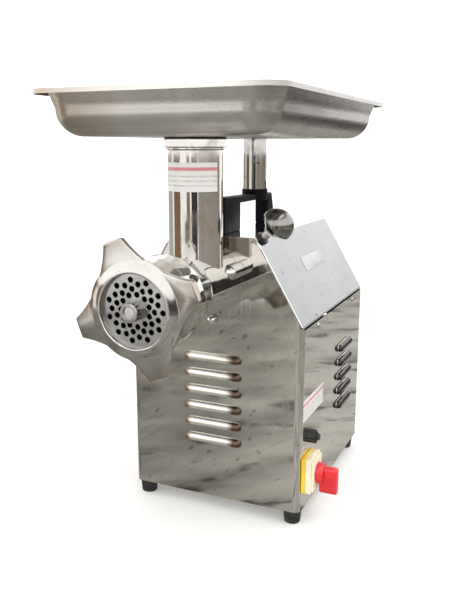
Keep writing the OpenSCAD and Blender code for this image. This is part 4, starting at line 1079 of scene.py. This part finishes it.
class GRINDER_OT_handle(bpy.types.Operator):
    """Mould the carry handle and turn the post that carries the tray"""

    bl_idname = "grinder.handle"
    bl_label = "Handle and post"

    def execute(self, context):
        start, end = HANDLE_LOW.y / MM, HANDLE_HIGH.y / MM
        low = HANDLE_LOW.z / MM
        top = low + 43
        half = 9  # half the arch's width
        profile = [
            (start, low), (start, top - 3), (start + 4, top), (end - 11, top - 2),
            (end - 1, low + 8), (end, low), (end - 29, low), (end - 29, top - 9),
            (start + 50, top - 9), (start + 50, low),
        ]
        arch = plate_of([(-half, y, z) for y, z in profile], (2 * half, 0, 0), 1.6, segments=4)
        boss = lathe(
            [(0, top - 9), (16.3, top - 9), (17.1, top - 8.2), (17.1, top + 4.2), (16.4, top + 5),
             (15.6, top + 5), (15.6, top + 1), (0, top + 1)], 72, place=upright(0, POST_Y, 0),
        )
        publish(combine(arch, ("UNION", boss)), "carry_arch", "root", "handle_plastic",
                "carry_handle")
        radius = (POST_HIGH.x - POST_LOW.x) / 2 / MM
        low, high = POST_LOW.z / MM, POST_HIGH.z / MM
        tube = lathe([
            (4.2, low), (radius - 0.5, low), (radius, low + 0.5), (radius, high),
            (radius - 2, high), (radius - 2, low + 6), (4.2, low + 6),
        ], 96, closed=True, place=upright(0, POST_Y, 0))
        publish(tube, "tray_column", "root", "post_steel", "tray_post")
        return {"FINISHED"}


# ---- controls and clamp ----


class GRINDER_OT_controls(bpy.types.Operator):
    """Mould the switch, its plate and its frame, and turn the clamp knob"""

    bl_idname = "grinder.controls"
    bl_label = "Switch and clamp"

    def execute(self, context):
        sizes = context.scene.grinder_controls
        y, z = ((SWITCH_LOW + SWITCH_HIGH) / 2).yz
        thick, wide, tall = (SWITCH_HIGH - SWITCH_LOW) / MM
        publish(block(wide, tall, 3, thick, 0.9, on_side(y, z, SWITCH_LOW.x)),
                "yellow_plate", "root", "switch_yellow", "switch_plate")
        frame_low, frame_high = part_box("switch_frame")
        deep = (frame_high.x - frame_low.x) / MM
        step = 3.4  # thickness of the frame's narrower face
        rim = block(wide, tall, 3, deep - 3, 1.2, on_side(y, z, frame_low.x))
        face = block(wide - 5, tall - 5, 3, step, 1.2, on_side(y, z, frame_high.x - step * MM))
        publish(combine(rim, ("UNION", face)), "cream_frame", "root", "switch_cream",
                "switch_frame")
        knob_x = frame_high.x + 0.3 * MM
        radius = sizes.knob / MM
        base = lathe([
            (0, 0), (radius - 0.6, 0), (radius, 0.6), (radius, 7), (radius - 0.8, 8.4),
            (radius - 2.2, 9), (0, 9),
        ], 72, place=on_side(y, z, knob_x))
        grip = block(sizes.grip / MM, 34.5, 5, 22, 1.8,
                     on_side(y, z - 7.4 * MM, knob_x + 3 * MM))
        stem = lathe([(0, -23), (3, -23), (3, 2), (0, 2)], 32, place=on_side(y, z, knob_x))
        publish(combine(base, ("UNION", grip), ("UNION", stem)), "red_handle", "switch_lever",
                "switch_red", "switch_knob")
        tilt = Matrix.Rotation(QUARTER_TURN - sizes.clamp_angle, 4, "Y")
        place = upright(0, FRONT_Y + sizes.clamp_back, AXIS_Z) @ tilt
        place = place @ upright(0, 0, sizes.clamp_seat)
        r = sizes.clamp_knob / MM
        knob = lathe(
            [(0, -10), (6.6, -10), (7.1, -9.6), (r - 1.4, -0.8), (r - 0.4, 0.1), (r, 1.5),
             *arc(r, range(6, 90, 6), (0, 1.5)), (0, 1.5 + r)], 96, place=place,
        )
        publish(knob, "clamp_mushroom", "clamp_handle", "polished_knob", "clamp_knob")
        return {"FINISHED"}


# ---- blank labels ----


class GRINDER_OT_labels(bpy.types.Operator):
    """Stick the blank labels on the neck, the side and the slant"""

    bl_idname = "grinder.labels"
    bl_label = "Blank labels"

    def execute(self, context):
        low, high = 0.409, 0.440
        first, sweep = math.radians(-62), math.radians(139)  # round the neck, from straight ahead
        radius = context.scene.grinder_head.neck + 0.1 * MM
        bm = bmesh.new()
        verts, edges = line(bm, [(0, -radius, low), (0, -radius, high)])
        put(bm, Matrix.Rotation(first, 4, "Z"))
        bmesh.ops.spin(bm, geom=verts + edges, cent=(0, 0, 0), axis=UP, angle=sweep, steps=44,
                       use_merge=False)
        put(tidy(bm), upright(0, NECK_Y, 0))
        label = publish(bm, "neck_label", "head", "terminal_plastic",
                        finish=printed_label("neck_label_film", low, high, (0.5, 0.04, 0.05)))
        walls(label, 0.15 * MM, 0)

        wide, tall = 83, 27
        y, z = -0.089, 0.1465
        side = block(wide, tall, 1.5, 0.2, 0.08, on_side(y, z, HALF_W))
        low, high = z - tall / 2 * MM, z + tall / 2 * MM
        publish(side, "side_label", "root", "terminal_plastic",
                finish=printed_label("side_label_film", low, high, (0.5, 0.06, 0.07)))

        slant = context.scene.grinder_casing.slant
        rise, share = TOP_Z - SHOULDER_Z, 0.567  # how far up the slant the nameplate sits
        along, out = Vector((0, 1, 0)), Vector((rise, 0, slant)).normalized()
        turn = Matrix((along, out.cross(along), out)).transposed().to_4x4()
        spot = upright(HALF_W - slant * share, 0.0055, SHOULDER_Z + rise * share)
        publish(block(85, 19, 2, 0.4, 0.12, spot @ turn), "blank_nameplate", "root", "sheet_steel",
                finish=machined("nameplate_satin", (0.47, 0.48, 0.5), 0.34, 300, (1, 0.05, 1)))
        return {"FINISHED"}


# ---- stage ----


def only_reflected(name, bm, finish):
    """A glowing surface that is seen in reflections only."""
    made = stand(name, bm)
    finish.surface.inputs["Emission Strength"].default_value = 1.0
    made.data.materials.append(finish.material)
    made.visible_camera = False
    made.visible_shadow = False
    made.visible_diffuse = False


# Cards round the machine: name, degrees round from straight ahead, and distance, width and height
# in mm, with the colour that the polished steel reflects.
CARDS = (
    ("brown_card", -53, 1500, 920, 430, (0.3, 0.19, 0.11)),
    ("fawn_card", -4, 1500, 330, 430, (0.36, 0.27, 0.19)),
    ("dark_card", 19, 1500, 600, 430, (0.045, 0.04, 0.038)),
    ("right_card", 64, 1500, 1800, 430, (0.46, 0.42, 0.37)),
    ("tan_card", 124, 1500, 1700, 430, (0.42, 0.37, 0.31)),
    ("far_card", 158, 1450, 760, 340, (0.05, 0.047, 0.045)),
    ("back_card", 190, 1500, 1000, 430, (0.3, 0.28, 0.26)),
    ("left_card", -118, 1500, 2200, 430, (0.6, 0.6, 0.57)),
)


def card(name, azimuth, distance, width, height, shade):
    """A card that stands on the floor and faces the machine."""
    turn = Matrix.Rotation(math.radians(azimuth), 4, "Z")
    upended = Matrix.Rotation(QUARTER_TURN, 4, "X")
    place = turn @ upright(0, -distance * MM, height / 2 * MM) @ upended
    f = Finish(name + "_paint", Roughness=1.0, Base_Color=(0, 0, 0, 1))
    grain = f.noise(4, stretch=(1, 1, 0.3), detail=2)
    f.drive("Emission Color", f.blend(grain, tone(shade, 0.75), tone(shade, 1.25)))
    only_reflected(name, put(rectangle(bmesh.new(), width, height, 20, 4), place), f)


def workshop_floor(radius):
    """The scuffed floor that the polished steel mirrors."""
    f = Finish("scuffed_floor", Roughness=1.0, Base_Color=(0, 0, 0, 1))
    turn = (0, 0, math.radians(35))
    base = f.fade(f.noise(5, detail=5, roughness=0.65), 0.36, 0.62, (0.17, 0.16, 0.134),
                  (0.31, 0.295, 0.255))
    across = f.axis("X")
    lit = f.remap(across, -0.42, 0.15, 0, 0.7) * f.remap(across, 0.3, 0.6, 1, 0.3)
    base = f.blend(lit, base, (0.66, 0.645, 0.6))
    drag = f.noise(16, stretch=(0.25, 1, 1), detail=5, turn=turn)
    base = f.fade(drag, 0.48, 0.62, base, (0.64, 0.61, 0.55), 0.6)
    vein = f.noise(11, stretch=(0.3, 1, 1), detail=6, roughness=0.7, turn=turn)
    base = f.fade(vein, 0.5, 0.64, base, (0.16, 0.145, 0.12), 0.65)
    mark = f.noise(23, stretch=(0.4, 1, 1), detail=3, turn=turn)
    f.drive("Emission Color", f.fade(mark, 0.58, 0.65, base, (0.06, 0.052, 0.045), 0.85))
    bm = bmesh.new()
    bmesh.ops.create_circle(bm, cap_ends=True, segments=64, radius=radius * MM)
    only_reflected("workshop_floor", put(bm, upright(0, 0, MM)), f)


def backdrop(sizes):
    """The pale floor, curved up into a wall all round."""
    edge, wall, bend = sizes.floor / MM, sizes.wall / MM, 700
    bm = lathe([
        (0, 0), (300, 0), (900, 0), (edge, 0), *arc(bend, range(-81, 0, 9), (edge, bend)),
        (edge + bend, bend), (edge + bend, wall),
    ], 96)
    bmesh.ops.reverse_faces(bm, faces=bm.faces[:])
    made = stand("backdrop", bm)
    made.data.shade_smooth()
    f = Finish("backdrop_paper", Roughness=0.95, Specular_IOR_Level=0.1,
               Base_Color=(0.8, 0.795, 0.785, 1), Emission_Strength=1.0)
    dim, bright = (sizes.floor_light,) * 3, (sizes.wall_light,) * 3
    f.drive("Emission Color", f.fade(f.axis("Z"), 0, 0.9, dim, bright))
    made.data.materials.append(f.material)


class GRINDER_OT_stage(bpy.types.Operator):
    """Set up the pale floor, the soft lights and the camera"""

    bl_idname = "grinder.stage"
    bl_label = "Stage"

    def execute(self, context):
        scene = context.scene
        sizes = scene.grinder_stage
        backdrop(sizes)
        workshop_floor(1420)
        for each in CARDS:
            card(*each)

        world = scene.world or bpy.data.worlds.new("studio")
        scene.world = world
        world.use_nodes = True
        world.node_tree.nodes["Background"].inputs[0].default_value = (1, 1, 1, 1)
        world.node_tree.nodes["Background"].inputs[1].default_value = 0.85

        softbox = bpy.data.lights.new("softbox", "AREA")
        softbox.shape = "RECTANGLE"
        softbox.size, softbox.size_y = 1.8, 1.8
        softbox.energy = sizes.softbox
        lamp = bpy.data.objects.new("softbox", softbox)
        lamp.matrix_world = Matrix.Translation((0.4, -0.5, 2.2))
        scene.collection.objects.link(lamp)

        camera = bpy.data.objects.new("camera", bpy.data.cameras.new("camera"))
        camera.data.lens = sizes.lens
        camera.data.sensor_width = 36
        camera.data.clip_start = 0.01
        tilt, pan = math.radians(12.27), math.radians(24.16)  # down, and round from the front
        camera.location = (0.3579, -0.8997, 0.4584)
        camera.rotation_euler = (QUARTER_TURN - tilt, 0, pan)
        scene.collection.objects.link(camera)
        scene.camera = camera
        scene.view_settings.view_transform = "Standard"
        return {"FINISHED"}


class GRINDER_OT_finishes(bpy.types.Operator):
    """Make every finish and give the frame's own nodes theirs"""

    bl_idname = "grinder.finishes"
    bl_label = "Finishes"

    def execute(self, context):
        scene = context.scene
        FINISHES.update(make_finishes(
            scene.grinder_casing, scene.grinder_head, scene.grinder_tray, scene.grinder_controls
        ))
        for part in frame["record"]["subparts"]:
            node = frame["nodes"][part["node"]]
            finish = FINISHES[part["material_slot"]].material
            if not node.material_slots:
                node.data.materials.append(finish)
            for slot in node.material_slots:
                slot.material = finish
        return {"FINISHED"}


class GRINDER_PT_build(bpy.types.Panel):
    """The grinder's pieces, in the order in which they are built"""

    bl_idname = "GRINDER_PT_build"
    bl_label = "Meat Grinder"
    bl_space_type = "VIEW_3D"
    bl_region_type = "UI"
    bl_category = "Grinder"

    def draw(self, context):
        column = self.layout.column(align=True)
        for operator in OPERATORS:
            column.operator(operator.bl_idname)
        for group in GROUPS:
            settings = getattr(context.scene, group)
            box = self.layout.box()
            for name in settings.bl_rna.properties.keys():
                if name not in ("rna_type", "name"):
                    box.prop(settings, name)


GROUPS = {
    "grinder_casing": GrinderCasingSizes,
    "grinder_head": GrinderHeadSizes,
    "grinder_tray": GrinderTraySizes,
    "grinder_controls": GrinderControlSizes,
    "grinder_stage": GrinderStageSizes,
}
OPERATORS = (
    GRINDER_OT_finishes, GRINDER_OT_casing, GRINDER_OT_head, GRINDER_OT_tray, GRINDER_OT_handle,
    GRINDER_OT_controls, GRINDER_OT_labels, GRINDER_OT_stage,
)


def register():
    for group in GROUPS.values():
        bpy.utils.register_class(group)
    for operator in OPERATORS:
        bpy.utils.register_class(operator)
    bpy.utils.register_class(GRINDER_PT_build)
    for name, group in GROUPS.items():
        setattr(bpy.types.Scene, name, PointerProperty(type=group))


def unregister():
    for name in GROUPS:
        delattr(bpy.types.Scene, name)
    bpy.utils.unregister_class(GRINDER_PT_build)
    for operator in reversed(OPERATORS):
        bpy.utils.unregister_class(operator)
    for group in reversed(list(GROUPS.values())):
        bpy.utils.unregister_class(group)


def main():
    register()
    bpy.ops.grinder.finishes()
    bpy.ops.grinder.casing()
    bpy.ops.grinder.head()
    bpy.ops.grinder.tray()
    bpy.ops.grinder.handle()
    bpy.ops.grinder.controls()
    bpy.ops.grinder.labels()
    bpy.ops.grinder.stage()


if __name__ == "__main__":
    main()
